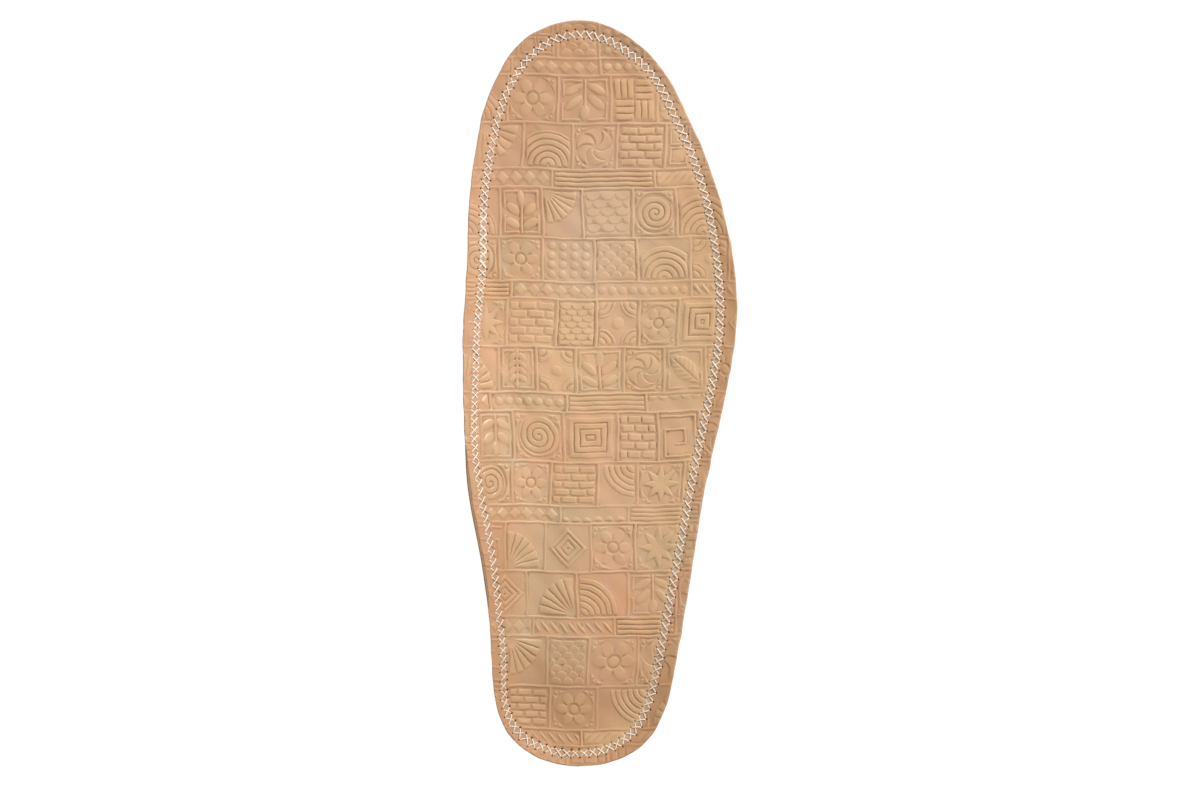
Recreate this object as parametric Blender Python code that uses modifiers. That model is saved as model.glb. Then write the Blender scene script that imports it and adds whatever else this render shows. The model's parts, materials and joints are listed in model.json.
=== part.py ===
"""Insole of a right shoe: a leather cover over a moulded foam base.

The toe points to +Y, the medial (arch) side to -X, and the underside rests on z = 0.
Each row of SECTIONS is one cross-section of the foot. A smooth closed outline runs through
the rows, and spokes from it to a spine carry every surface of both pieces.
"""

from collections import namedtuple

import bmesh
import bpy
import numpy as np

MM = 0.001

# Driving sizes, in millimetres
LENGTH = 285.0
COVER_THICKNESS = 1.5
GLUE_GAP = 0.3
PAD_AT_HEEL = 4.4
PAD_AT_TOE = 2.8
PAD_STEP_FROM = 60.0
PAD_STEP_TO = 150.0

# The rim is a parabola: the higher it rises, the farther in it starts
REACH_LEAST = 9.0
REACH_PER_RISE = 1.75
UNDER_REACH = 0.8

# The edge of the base is skived thinner and leans out more where the rim rises
EDGE_THICKNESS = 2.6
SKIVE_PER_RISE = 0.1
LEAN_PER_RISE = 0.025
EDGE_ROUNDING = 0.3

# The seam lies in a shallow trough
TROUGH_DEPTH = 0.35
TROUGH_HALF_WIDTH = 2.4

# Spine ends, measured in from heel and toe
HEEL_SPINE = 34.0
TOE_SPINE = 46.0

# Points round each ring, and where rings lie as shares of the way in
SAMPLES = 144
INNER_RINGS = (0.15, 0.32, 0.52, 0.75, 1.0)
UNDER_RINGS = (0.2, 0.42, 0.68, 1.0)

# Edges that turn by more than this, in degrees, are cut edges
SHARP_ANGLE = 50.0

Section = namedtuple(
    "Section", "station medial lateral medial_rim lateral_rim medial_seam lateral_seam")

# Station from the heel, half-widths from the foot's axis, rise of the rim, inset of the seam
SECTIONS = [
    Section(0.0, 0.0, 0.0, 6.5, 6.5, 4.2, 4.2),
    Section(2.0, 12.6, 13.6, 6.6, 6.5, 4.2, 4.4),
    Section(9.5, 24.6, 25.6, 6.8, 6.4, 4.2, 5.3),
    Section(20.0, 30.8, 32.0, 7.0, 6.2, 4.0, 6.5),
    Section(36.0, 33.2, 36.2, 7.4, 6.0, 4.8, 6.8),
    Section(58.0, 34.8, 40.2, 9.0, 5.6, 5.1, 6.6),
    Section(80.0, 37.6, 43.8, 12.4, 5.0, 4.8, 5.8),
    Section(102.0, 41.8, 47.4, 13.6, 4.4, 4.6, 5.7),
    Section(124.0, 43.8, 52.2, 11.4, 4.0, 4.2, 5.9),
    Section(146.0, 44.4, 57.0, 7.6, 3.8, 4.8, 5.8),
    Section(170.0, 44.2, 60.4, 4.6, 3.6, 5.6, 6.1),
    Section(193.0, 42.8, 59.2, 3.2, 3.2, 5.8, 6.0),
    Section(216.0, 42.0, 54.2, 2.6, 2.6, 6.0, 5.2),
    Section(236.0, 39.4, 47.3, 2.2, 2.2, 6.1, 4.7),
    Section(252.0, 36.0, 40.0, 2.0, 2.0, 6.2, 4.3),
    Section(266.0, 29.9, 32.2, 1.9, 1.9, 6.2, 4.5),
    Section(277.0, 21.8, 21.4, 1.8, 1.8, 5.7, 5.1),
    Section(282.5, 12.2, 12.0, 1.8, 1.8, 5.5, 5.4),
    Section(LENGTH, 0.0, 0.0, 1.8, 1.8, 5.5, 5.5),
]

Rail = namedtuple("Rail", "edge inward span rim reach seam")


def closed_spline(knots, period, values, at):
    """Values, at the given parameters, of the smooth closed curve through the knots."""
    count = len(knots)
    here = np.arange(count)
    before = (here - 1) % count
    after = (here + 1) % count
    gaps = np.diff(np.append(knots, knots[0] + period))
    steps = (values[after] - values) / gaps
    system = np.zeros((count, count))
    system[here, before] = gaps[before]
    system[here, here] = 2.0 * (gaps[before] + gaps)
    system[here, after] = gaps
    bends = np.linalg.solve(system, 6.0 * (steps - steps[before]))
    left = np.searchsorted(knots, at, side="right") - 1
    right = after[left]
    gap = gaps[left]
    t = (at - knots[left]) / gap
    straight = values[left] * (1.0 - t) + values[right] * t
    bow_left = bends[left] * ((1.0 - t) ** 3 - (1.0 - t))
    bow_right = bends[right] * (t ** 3 - t)
    return straight + gap ** 2 / 6.0 * (bow_left + bow_right)


def foot_rail(samples):
    """Edge points, inward spokes, rim and seam sizes round the outline, from the heel's tip."""
    columns = Section(*np.array(SECTIONS).T)
    chords = [np.hypot(np.diff(columns.station), np.diff(half))
              for half in (columns.medial, columns.lateral)]
    walked = np.concatenate([[0.0], np.cumsum(np.mean(chords, axis=0))])
    period = 2.0 * walked[-1]
    knots = np.concatenate([walked, period - walked[-2:0:-1]])
    at = np.arange(samples) * period / samples

    def around(medial, lateral):
        return closed_spline(knots, period, np.concatenate([medial, lateral[-2:0:-1]]), at)

    across = around(-columns.medial, columns.lateral)
    along = around(columns.station, columns.station)
    facing = -np.arange(samples) % samples
    spine_length = LENGTH - HEEL_SPINE - TOE_SPINE
    spine = np.stack([(across + across[facing]) / 2.0,
                      HEEL_SPINE + spine_length * along / LENGTH], axis=1)
    edge = np.stack([across, along], axis=1)
    span = np.linalg.norm(spine - edge, axis=1)
    rim = around(columns.medial_rim, columns.lateral_rim)
    return Rail(edge, (spine - edge) / span[:, None], span, rim,
                REACH_LEAST + REACH_PER_RISE * rim,
                around(columns.medial_seam, columns.lateral_seam))


def plan_points(rail, inset):
    """Points seen from above, at an inset along each spoke."""
    return rail.edge + rail.inward * inset[:, None]


def pad_thickness(station):
    """Thickness of the base under the foot: thick at the heel, thin at the toe, eased between."""
    t = np.clip((station - PAD_STEP_FROM) / (PAD_STEP_TO - PAD_STEP_FROM), 0.0, 1.0)
    return PAD_AT_HEEL + (PAD_AT_TOE - PAD_AT_HEEL) * t * t * (3.0 - 2.0 * t)


def seat_ring(rail, inset, lift=0.0):
    """One ring of the dished seat, raised square to the slope by a lift."""
    plan = plan_points(rail, inset)
    left = np.clip(1.0 - inset / rail.reach, 0.0, 1.0)
    slope = 2.0 * rail.rim / rail.reach * left
    across_trough = np.clip(np.abs(inset - rail.seam) / TROUGH_HALF_WIDTH, 0.0, 1.0)
    height = pad_thickness(plan[:, 1]) + rail.rim * left ** 2
    height = height - TROUGH_DEPTH * (1.0 - across_trough ** 2)
    height = height + lift * np.sqrt(1.0 + slope ** 2)
    return np.column_stack([plan, height])


def seat_rings(rail, lift=0.0):
    """Rings of the seat from the edge, over the seam's trough, to the spine."""
    start = rail.seam + TROUGH_HALF_WIDTH
    insets = [np.zeros(len(rail.span)), rail.seam - TROUGH_HALF_WIDTH, rail.seam, start]
    insets += [start + (rail.span - start) * share for share in INNER_RINGS]
    return [seat_ring(rail, inset, lift) for inset in insets]


def under_rings(rail):
    """Rings of the base's underside, from its leaning edge to the flat that meets the floor."""
    lean = LEAN_PER_RISE * rail.rim
    edge_height = seat_ring(rail, np.zeros(len(rail.span)))[:, 2]
    edge_height = edge_height - EDGE_THICKNESS + SKIVE_PER_RISE * rail.rim
    reach = UNDER_REACH * rail.reach
    rings = [np.column_stack([plan_points(rail, -lean), edge_height])]
    for share in UNDER_RINGS:
        height = edge_height * (1.0 - share) ** 2
        rings.append(np.column_stack([plan_points(rail, reach * share), height]))
    rings.append(np.column_stack([plan_points(rail, rail.span), np.zeros(len(rail.span))]))
    return rings


def outline_middle(rail):
    """Middle of the outline's box seen from above, at the floor's height."""
    edge = under_rings(rail)[0]
    return (edge.min(axis=0) + edge.max(axis=0)) / 2.0 * [1.0, 1.0, 0.0]


def lofted(name, rings, middle, material, collection):
    """An object whose faces join each ring to the next, facing up where the rings run inwards."""
    count = len(rings[0])
    here = np.arange(count)
    after = (here + 1) % count
    faces = []
    for ring in range(len(rings) - 1):
        outer = ring * count
        inner = outer + count
        faces += np.stack([outer + here, inner + here, inner + after, outer + after], 1).tolist()
    mesh = bpy.data.meshes.new(name)
    mesh.from_pydata(((np.concatenate(rings) - middle) * MM).tolist(), [], faces)
    shape = bmesh.new()
    shape.from_mesh(mesh)
    bmesh.ops.remove_doubles(shape, verts=shape.verts, dist=0.01 * MM)
    shape.to_mesh(mesh)
    shape.free()
    mesh.shade_smooth()
    mesh.set_sharp_from_angle(angle=np.radians(SHARP_ANGLE))
    mesh.materials.append(material)
    made = bpy.data.objects.new(name, mesh)
    collection.objects.link(made)
    return made


def rounded(made):
    """Round the cut edges of a piece."""
    bevel = made.modifiers.new("rounded_edge", "BEVEL")
    bevel.width = EDGE_ROUNDING * MM
    bevel.segments = 1
    bevel.limit_method = "ANGLE"
    bevel.angle_limit = np.radians(SHARP_ANGLE)


def finish(name, colour, roughness):
    """A plain Principled material."""
    material = bpy.data.materials.new(name)
    material.use_nodes = True
    shader = material.node_tree.nodes["Principled BSDF"]
    shader.inputs["Base Color"].default_value = (*colour, 1.0)
    shader.inputs["Roughness"].default_value = roughness
    return material


def build():
    """Make the base and the leather cover that lies on it."""
    for old in list(bpy.data.objects):
        bpy.data.objects.remove(old, do_unlink=True)
    collection = bpy.data.collections.new("insole")
    bpy.context.scene.collection.children.link(collection)
    rail = foot_rail(SAMPLES)
    middle = outline_middle(rail)

    foam = finish("base_foam", (0.22, 0.13, 0.07), 0.85)
    body = under_rings(rail)[::-1] + seat_rings(rail)
    base_pad = lofted("base_pad", body, middle, foam, collection)
    rounded(base_pad)

    leather = finish("cover_leather", (0.6, 0.39, 0.24), 0.5)
    sheet = seat_rings(rail, lift=GLUE_GAP)
    leather_cover = lofted("leather_cover", sheet, middle, leather, collection)
    solid = leather_cover.modifiers.new("leather_thickness", "SOLIDIFY")
    solid.thickness = COVER_THICKNESS * MM
    solid.offset = 1.0
    solid.use_even_offset = True
    solid.use_quality_normals = True
    rounded(leather_cover)


build()
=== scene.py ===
"""Looks of a right-foot insole: embossed tan leather, cross-stitched near its edge, on a foam base.

The toe points to +Y, the medial (arch) side to -X, and the underside rests on z = 0. Shapes are
worked out in millimetres in the foot's own frame and become metres when a mesh is made.
"""

from __future__ import annotations

import json
import logging
from dataclasses import dataclass, field
from enum import Enum
from functools import cached_property
from typing import Callable, NamedTuple

import bpy
import numpy as np
from mathutils import Matrix, Vector

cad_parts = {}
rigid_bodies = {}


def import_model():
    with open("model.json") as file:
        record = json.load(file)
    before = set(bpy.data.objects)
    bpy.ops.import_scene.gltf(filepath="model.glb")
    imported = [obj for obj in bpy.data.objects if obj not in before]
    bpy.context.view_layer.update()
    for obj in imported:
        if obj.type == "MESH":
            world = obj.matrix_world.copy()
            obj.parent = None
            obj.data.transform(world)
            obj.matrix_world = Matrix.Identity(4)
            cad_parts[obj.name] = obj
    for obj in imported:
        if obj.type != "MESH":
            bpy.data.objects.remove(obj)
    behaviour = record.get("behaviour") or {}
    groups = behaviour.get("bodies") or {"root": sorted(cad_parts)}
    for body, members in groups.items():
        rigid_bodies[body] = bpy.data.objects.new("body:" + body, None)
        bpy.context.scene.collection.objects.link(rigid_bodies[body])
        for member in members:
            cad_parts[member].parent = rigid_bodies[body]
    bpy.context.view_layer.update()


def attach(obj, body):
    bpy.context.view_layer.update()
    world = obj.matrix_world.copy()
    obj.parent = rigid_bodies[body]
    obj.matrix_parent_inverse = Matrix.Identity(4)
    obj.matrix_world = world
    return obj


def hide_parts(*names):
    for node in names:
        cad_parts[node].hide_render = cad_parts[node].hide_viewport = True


MM = 0.001
ROOT_BODY = "root"
LOG = logging.getLogger("insole")

Array = np.ndarray
Colour = tuple[float, float, float]


# Shape of the foot


class Section(NamedTuple):
    """One cross-section of the foot, in mm.

    Half-widths are from the foot's axis. The seam's inset and the gauge between its two rows of holes are
    square to the outline, seen from above.
    """

    station: float
    medial: float
    lateral: float
    medial_rim: float
    lateral_rim: float
    medial_seam: float
    lateral_seam: float
    medial_gauge: float
    lateral_gauge: float


SECTIONS: tuple[Section, ...] = (
    Section(0.0, 0.0, 0.0, 6.5, 6.5, 4.5, 4.5, 3.2, 3.4),
    Section(2.0, 12.6, 13.6, 6.6, 6.5, 4.1, 5.0, 3.2, 3.5),
    Section(9.5, 24.6, 25.6, 6.8, 6.4, 3.3, 6.1, 3.6, 3.6),
    Section(20.0, 30.8, 32.0, 7.0, 6.2, 3.3, 6.7, 3.3, 3.7),
    Section(36.0, 33.2, 36.2, 7.4, 6.0, 4.4, 6.5, 2.9, 3.7),
    Section(58.0, 34.8, 40.2, 9.0, 5.6, 4.1, 6.3, 2.9, 3.6),
    Section(80.0, 37.6, 43.8, 12.4, 5.0, 4.4, 5.8, 2.9, 3.55),
    Section(102.0, 41.8, 47.4, 13.6, 4.4, 4.5, 5.3, 2.8, 3.6),
    Section(124.0, 43.8, 52.2, 11.4, 4.0, 3.7, 5.7, 2.95, 3.5),
    Section(146.0, 44.4, 57.0, 7.6, 3.8, 4.7, 5.8, 3.1, 3.55),
    Section(170.0, 44.2, 60.4, 4.6, 3.6, 5.3, 6.2, 3.25, 3.6),
    Section(193.0, 42.8, 59.2, 3.2, 3.2, 6.0, 6.3, 3.45, 3.6),
    Section(216.0, 42.0, 54.2, 2.6, 2.6, 5.7, 5.3, 3.6, 3.65),
    Section(236.0, 39.4, 47.3, 2.2, 2.2, 5.8, 4.8, 3.6, 3.75),
    Section(252.0, 36.0, 40.0, 2.0, 2.0, 6.1, 4.6, 3.5, 3.8),
    Section(266.0, 29.9, 32.2, 1.9, 1.9, 6.0, 4.6, 3.3, 3.8),
    Section(277.0, 21.8, 21.4, 1.8, 1.8, 6.5, 4.9, 3.2, 3.6),
    Section(282.5, 12.2, 12.0, 1.8, 1.8, 5.7, 5.2, 3.6, 3.8),
    Section(285.0, 0.0, 0.0, 1.8, 1.8, 5.4, 5.4, 3.8, 3.8),
)


class Rail(NamedTuple):
    """What the outline carries, one entry for each sample clockwise from the heel's tip.

    The seam is an inset of the seat along the spoke. Square and skew are the shares of a step along the
    spoke that go in from the outline and on along it.
    """

    edge: Array
    inward: Array
    span: Array
    rim: Array
    reach: Array
    seam: Array
    gauge: Array
    square: Array
    skew: Array


def closed_spline(knots: Array, period: float, values: Array, at: Array) -> Array:
    """Natural smooth closed curve: cubic pieces whose slopes and bends agree at every knot.

    Args:
        knots: Rising parameters of the values.
        period: Parameter after which the curve closes.
        values: Values that the curve passes through.
        at: Parameters to read the curve at.

    Returns:
        The curve's value at each parameter.
    """
    count = len(knots)
    here = np.arange(count)
    before = (here - 1) % count
    after = (here + 1) % count
    gaps = np.diff(np.append(knots, knots[0] + period))
    steps = (values[after] - values) / gaps
    system = np.zeros((count, count))
    system[here, before] = gaps[before]
    system[here, here] = 2.0 * (gaps[before] + gaps)
    system[here, after] = gaps
    bends = np.linalg.solve(system, 6.0 * (steps - steps[before]))
    left = np.searchsorted(knots, at, side="right") - 1
    right = after[left]
    gap = gaps[left]
    t = (at - knots[left]) / gap
    bow_left = bends[left] * ((1.0 - t) ** 3 - (1.0 - t))
    bow_right = bends[right] * (t**3 - t)
    return values[left] * (1.0 - t) + values[right] * t + gap**2 / 6.0 * (bow_left + bow_right)


def eased(t: Array) -> Array:
    """Smooth step from 0 to 1: 3 t squared minus 2 t cubed, held flat outside."""
    t = np.clip(t, 0.0, 1.0)
    return t * t * (3.0 - 2.0 * t)


def between(value: Array, limits: tuple[float, float]) -> Array:
    """Mask of the values between two limits."""
    return (value > limits[0]) & (value < limits[1])


class Step(NamedTuple):
    """Smooth step of a measure: where it begins, and the way to its end, below 0 where it runs downwards."""

    begin: float
    way: float

    def share(self, value: Array) -> Array:
        """0 before the step, easing to 1 at its end."""
        return eased((value - self.begin) / self.way)


class Stretch(NamedTuple):
    """Part of the foot's length, in mm from the heel, and the soft width over which it ends."""

    start: float
    end: float
    soft: float

    def share(self, station: Array) -> Array:
        """1 along the stretch, easing to 0 over the soft width before and after it."""
        before = eased((station - self.start) / self.soft + 1.0)
        return before * eased((self.end - station) / self.soft + 1.0)


@dataclass(frozen=True)
class FootShape:
    """The dished seat that both pieces share: an outline, a spine, and a rim that rises to the edge."""

    length: float = 285.0
    pad_at_heel: float = 4.4
    pad_at_toe: float = 2.8
    pad_step: Step = Step(60.0, 90.0)
    reach_least: float = 9.0
    reach_per_rise: float = 1.75
    heel_spine: float = 34.0
    toe_spine: float = 46.0
    trough_depth: float = 0.1
    trough_half_width: float = 2.4
    lean_per_rise: float = 0.025
    face_lift: float = 1.8
    settling_passes: int = 3
    open_waist: Stretch = Stretch(76.0, 106.0, 28.0)
    box_samples: int = 720

    def rail(self, samples: int) -> Rail:
        """Closed outline through the sections, with a spoke from each sample to the spine.

        Args:
            samples: Points round the outline, an even number.

        Returns:
            Edge points, unit spokes and what else the outline carries.
        """
        columns = Section(*np.array(SECTIONS).T)
        halves = (columns.medial, columns.lateral)
        chords = [np.hypot(np.diff(columns.station), np.diff(half)) for half in halves]
        walked = np.concatenate([[0.0], np.cumsum(np.mean(chords, axis=0))])
        period = 2.0 * walked[-1]
        knots = np.concatenate([walked, period - walked[-2:0:-1]])
        at = np.arange(samples) * period / samples

        def around(medial: Array, lateral: Array) -> Array:
            """Curve up the medial column and back down the lateral one."""
            values = np.concatenate([medial, lateral[-2:0:-1]])
            return closed_spline(knots, period, values, at)

        across = around(-columns.medial, columns.lateral)
        along = around(columns.station, columns.station)
        facing = -np.arange(samples) % samples
        spine_length = self.length - self.heel_spine - self.toe_spine
        spine_along = self.heel_spine + spine_length * along / self.length
        spine = np.stack([(across + across[facing]) / 2.0, spine_along], axis=1)
        edge = np.stack([across, along], axis=1)
        span = np.linalg.norm(spine - edge, axis=1)
        rim = around(columns.medial_rim, columns.lateral_rim)
        reach = self.reach_least + self.reach_per_rise * rim
        seam = around(columns.medial_seam, columns.lateral_seam)
        gauge = around(columns.medial_gauge, columns.lateral_gauge)
        inward = (spine - edge) / span[:, None]
        ahead = np.roll(edge, -1, axis=0) - np.roll(edge, 1, axis=0)
        skew = np.sum(inward * ahead, axis=1) / np.linalg.norm(ahead, axis=1)
        rail = Rail(edge, inward, span, rim, reach, seam, gauge, np.sqrt(1.0 - skew**2), skew)
        return rail._replace(seam=self.under_face(rail, seam))

    def under_face(self, rail: Rail, plan_inset: Array) -> Array:
        """Seat inset along the spoke, below a point of the leather's face.

        The face lies a lift above the seat along the normal, so it leans in by the lift times the sine of
        the slope. Putting the result back a few times settles it.

        Args:
            rail: The outline's samples.
            plan_inset: Inset of the face's point, square to the outline and seen from above.

        Returns:
            One inset for each sample.
        """
        inset = plan_inset / rail.square
        for _ in range(self.settling_passes):
            left = np.maximum(1.0 - inset / rail.reach, 0.0)
            slope = 2.0 * rail.rim / rail.reach * left / rail.square
            inset = (plan_inset - self.face_lift * slope / np.sqrt(1.0 + slope**2)) / rail.square
        return inset

    def open_edge(self, rail: Rail) -> Array:
        """Where the edge lies open to view from above: 1 along the medial waist, 0 elsewhere."""
        return self.open_waist.share(rail.edge[:, 1]) * (rail.edge[:, 0] < 0.0)

    def middle(self) -> Array:
        """Middle of the part's box.

        Returns:
            Middle of the base's outline seen from above, at the floor's height.
        """
        rail = self.rail(self.box_samples)
        outer = rail.edge - rail.inward * (self.lean_per_rise * rail.rim)[:, None]
        centre = (outer.min(axis=0) + outer.max(axis=0)) / 2.0
        return np.array([centre[0], centre[1], 0.0])

    def pad(self, station: Array) -> Array:
        """Base thickness under the foot: heel value, eased into the toe value along the waist."""
        return self.pad_at_heel + (self.pad_at_toe - self.pad_at_heel) * self.pad_step.share(station)

    def seat(self, rail: Rail, inset: Array) -> Array:
        """Seat height: pad plus rim times (1 - inset / reach) squared.

        Args:
            rail: The outline's samples.
            inset: Distances in from the edge along the spokes, one row for each ring.

        Returns:
            Points by ring and sample.
        """
        plan = rail.edge + rail.inward * inset[..., None]
        left = np.maximum(1.0 - inset / rail.reach, 0.0)
        height = self.pad(plan[..., 1]) + rail.rim * left**2
        return np.concatenate([plan, height[..., None]], axis=-1)

    def trough(self, rail: Rail, past_seam: Array) -> Array:
        """Depth of the seam's trough: full at the seam, times (1 - t squared) squared, t 1 at its sides."""
        t = np.clip(np.abs(past_seam) * rail.square / self.trough_half_width, 0.0, 1.0)
        return self.trough_depth * (1.0 - t * t) ** 2


def surface_normals(points: Array) -> Array:
    """Unit normals of a ring grid: the way inwards crossed with the way round.

    Args:
        points: Points by ring, from the edge inwards, and by sample round the outline.

    Returns:
        Upward normals, straight up on the last ring.
    """
    inwards = np.gradient(points, axis=0)
    around = np.roll(points, -1, axis=1) - np.roll(points, 1, axis=1)
    normal = np.cross(inwards, around)
    normal[-1] = (0.0, 0.0, 1.0)
    return normal / np.linalg.norm(normal, axis=-1, keepdims=True)


def ring_soften(values: Array, passes: int) -> Array:
    """Blur over a ring grid: each pass mixes a value half and half with its neighbours' mean.

    Args:
        values: Numbers by ring and sample.
        passes: How often to blur, each time round the rings and then across them.

    Returns:
        The blurred numbers.
    """
    for _ in range(passes):
        values = 0.5 * values + 0.25 * (np.roll(values, 1, axis=1) + np.roll(values, -1, axis=1))
        padded = np.concatenate([values[:1], values, values[-1:]])
        values = 0.5 * values + 0.25 * (padded[:-2] + padded[2:])
    return values


# Meshes from rings


def ring_faces(rings: int, samples: int) -> Array:
    """Quads that join each ring to the next, facing up where the rings run inwards.

    Args:
        rings: How many rings.
        samples: Points in each ring.

    Returns:
        Four point numbers for each quad.
    """
    here = np.arange(samples)
    after = (here + 1) % samples
    quad = np.stack([here, samples + here, samples + after, after], axis=1)
    return (samples * np.arange(rings - 1)[:, None, None] + quad).reshape(-1, 4)


def closed_on_spines(points: Array, faces: Array, spines: tuple[int, ...]) -> tuple[Array, Array, Array]:
    """Merge the two halves of each spine ring, where sample i meets sample count - i.

    Args:
        points: Points by ring and sample.
        faces: Quads into the flattened points.
        spines: Ring numbers whose halves coincide.

    Returns:
        Kept points, faces into them, and the kept points' places in the flattened grid.
    """
    rings, samples = points.shape[:2]
    mapped = np.arange(rings * samples).reshape(rings, samples)
    here = np.arange(samples)
    for ring in spines:
        mapped[ring] = ring * samples + np.minimum(here, -here % samples)
    kept, place = np.unique(mapped, return_inverse=True)
    return points.reshape(-1, 3)[kept], place.reshape(-1)[faces], kept


def new_object(name: str, points: Array, faces: list | Array, middle: Array) -> bpy.types.Object:
    """Make a smooth-shaded object from points in millimetres of the foot's frame.

    Args:
        name: Name of the object and its mesh.
        points: Points, three numbers each.
        faces: Vertex numbers of each face.
        middle: Point of the foot's frame that becomes the origin.

    Returns:
        The new object, linked to the scene.
    """
    mesh = bpy.data.meshes.new(name)
    corners = faces.tolist() if isinstance(faces, np.ndarray) else faces
    mesh.from_pydata(((points - middle) * MM).tolist(), [], corners)
    mesh.shade_smooth()
    made = bpy.data.objects.new(name, mesh)
    bpy.context.scene.collection.objects.link(made)
    return made


def set_attribute(made: bpy.types.Object, name: str, values: Array) -> None:
    """Store values on the vertices for materials to read.

    Args:
        made: The object.
        name: Name that materials read.
        values: A number, or a row of three, for each vertex.
    """
    kind, field_name = ("FLOAT", "value") if values.ndim == 1 else ("FLOAT_VECTOR", "vector")
    layer = made.data.attributes.new(name, kind, "POINT")
    layer.data.foreach_set(field_name, np.ascontiguousarray(values, dtype=np.float32).ravel())


# Embossed relief


class Motif(Enum):
    """Figures pressed into the leather's panels and narrow bands."""

    ROSETTE = "rosette"
    LEAF = "leaf"
    RIPPLES = "ripples"
    DIAMONDS = "diamonds"
    PEBBLES = "pebbles"
    FRET = "fret"
    BASKET = "basket"
    SCALES = "scales"
    SPIRAL = "spiral"
    STAR = "star"
    FAN = "fan"
    HOOPS = "hoops"
    QUARTERS = "quarters"
    SPROUT = "sprout"
    FRAMES = "frames"
    PINWHEEL = "pinwheel"
    BRICKS = "bricks"
    GRAIN_EAR = "grain ear"
    COFFERS = "coffers"
    BEADS = "beads"
    ROPE = "rope"
    LOZENGES = "lozenges"
    RIB = "rib"
    SEEDS = "seeds"
    SCALLOPS = "scallops"


BAND_MOTIFS = (Motif.BEADS, Motif.ROPE, Motif.LOZENGES, Motif.RIB, Motif.SEEDS, Motif.SCALLOPS)
PANEL_MOTIFS = tuple(motif for motif in Motif if motif not in BAND_MOTIFS)
ROUND_MOTIFS = (Motif.ROSETTE, Motif.SPIRAL, Motif.STAR, Motif.PINWHEEL)
UPRIGHT_MOTIFS = (Motif.LEAF, Motif.SPROUT, Motif.GRAIN_EAR)
LINE = 0.58
GROOVE = 0.5
PLATE_SOFT = 0.4


def ridge(distance: Array, half_width: float | Array) -> Array:
    """Steep ridge with a narrow flat top: a smooth step over three quarters of the half-width."""
    return eased((1.0 - np.abs(distance) / half_width) / 0.75)


def dome(radius: Array, size: float | Array) -> Array:
    """Pillow with a steep foot: the root of (1 - t to the power 2.5)."""
    t = np.clip(np.abs(radius) / size, 0.0, 1.0)
    return np.sqrt(1.0 - t**2.5)


def engraved(plate: Array, from_line: Array) -> Array:
    """Level plate, from 0 to 1, with a groove cut along a line at a distance."""
    return 0.8 * plate * (1.0 - 0.95 * ridge(from_line, GROOVE))


def repeated(value: Array, pitch: float | Array) -> Array:
    """Distance to the middle of the repeat that a value falls in."""
    return np.mod(value, pitch) - pitch / 2.0


def grooved(level: Array, size: Array, start: float, pitch: float) -> Array:
    """Level plate that ends where a level reaches a size, cut by grooves at even steps of the level.

    Args:
        level: Distances that the grooves follow.
        size: Level at the plate's edge.
        start: How far the grooves begin into a step.
        pitch: Level from groove to groove.

    Returns:
        Height from 0 to 1.
    """
    return engraved(eased((size - level) / PLATE_SOFT), repeated(level + start, pitch))


def oval(x: Array, y: Array, turn: float, long: Array, short: float | Array) -> Array:
    """Domed oval, turned about its middle.

    Args:
        x: Places across from its middle.
        y: Places along from its middle.
        turn: Angle in radians.
        long: Half-length.
        short: Half-breadth.

    Returns:
        Height from 0 to 1.
    """
    along = x * np.cos(turn) + y * np.sin(turn)
    aside = y * np.cos(turn) - x * np.sin(turn)
    return dome(np.hypot(along / long, aside / short), 1.0)


# Each motif below takes places x across and y along from its panel's middle, and the panel's half-width a
# and half-height b, all in mm, and gives a height from 0 to 1.


def rosette(x: Array, y: Array, a: Array, b: Array) -> Array:
    """Six domed petals, their reach following |cos 3 angle|, round a boss."""
    size = np.minimum(a, b)
    radius = np.hypot(x, y)
    lobes = np.abs(np.cos(3.0 * np.arctan2(y, x)))
    petals = dome(radius, size * (0.32 + 0.66 * lobes**0.6)) * eased((radius / size - 0.3) / 0.1)
    return np.maximum(petals, dome(radius, 0.25 * size))


def leaf(x: Array, y: Array, a: Array, b: Array) -> Array:
    """Leaf across the diagonal: a pillow of half-width sin, with a midrib and slanting veins sunk in."""
    size = 1.15 * np.minimum(a, b)
    along = (x + y) / np.sqrt(2.0)
    aside = (y - x) / np.sqrt(2.0)
    half = 0.5 * size * np.sin(np.pi * np.clip(along / size + 1.0, 0.0, 2.0) / 2.0) ** 0.9
    body = dome(aside, np.maximum(half, 0.01)) * (np.abs(along) < size)
    veins = 0.5 * ridge(repeated(along - 0.9 * np.abs(aside), 2.3), 0.45)
    return body * (1.0 - np.maximum(veins, 0.75 * ridge(aside, 0.5)))


def ripples(x: Array, y: Array, a: Array, b: Array) -> Array:
    """Quarter plate about one corner, cut by arcs at an even pitch."""
    radius = np.hypot(x + a, y + b)
    return grooved(radius, 2.0 * np.minimum(a, b), 0.4, 2.3)


def diamonds(x: Array, y: Array, a: Array, b: Array) -> Array:
    """Four-cornered plate cut by diamonds inside one another, at even steps of |x| / a + |y| / b."""
    size = 0.72 * np.minimum(a, b)
    level = (np.abs(x) / a + np.abs(y) / b) * size
    return grooved(level, size, 0.9, 1.9)


def pebbles(x: Array, y: Array, a: Array, b: Array) -> Array:
    """Four rows of four domes."""
    rows = 4.0
    across = 2.0 * a / rows
    along = 2.0 * b / rows
    radius = np.hypot(repeated(x + a, across), repeated(y + b, along))
    return dome(radius, 0.4 * np.minimum(across, along))


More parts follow.
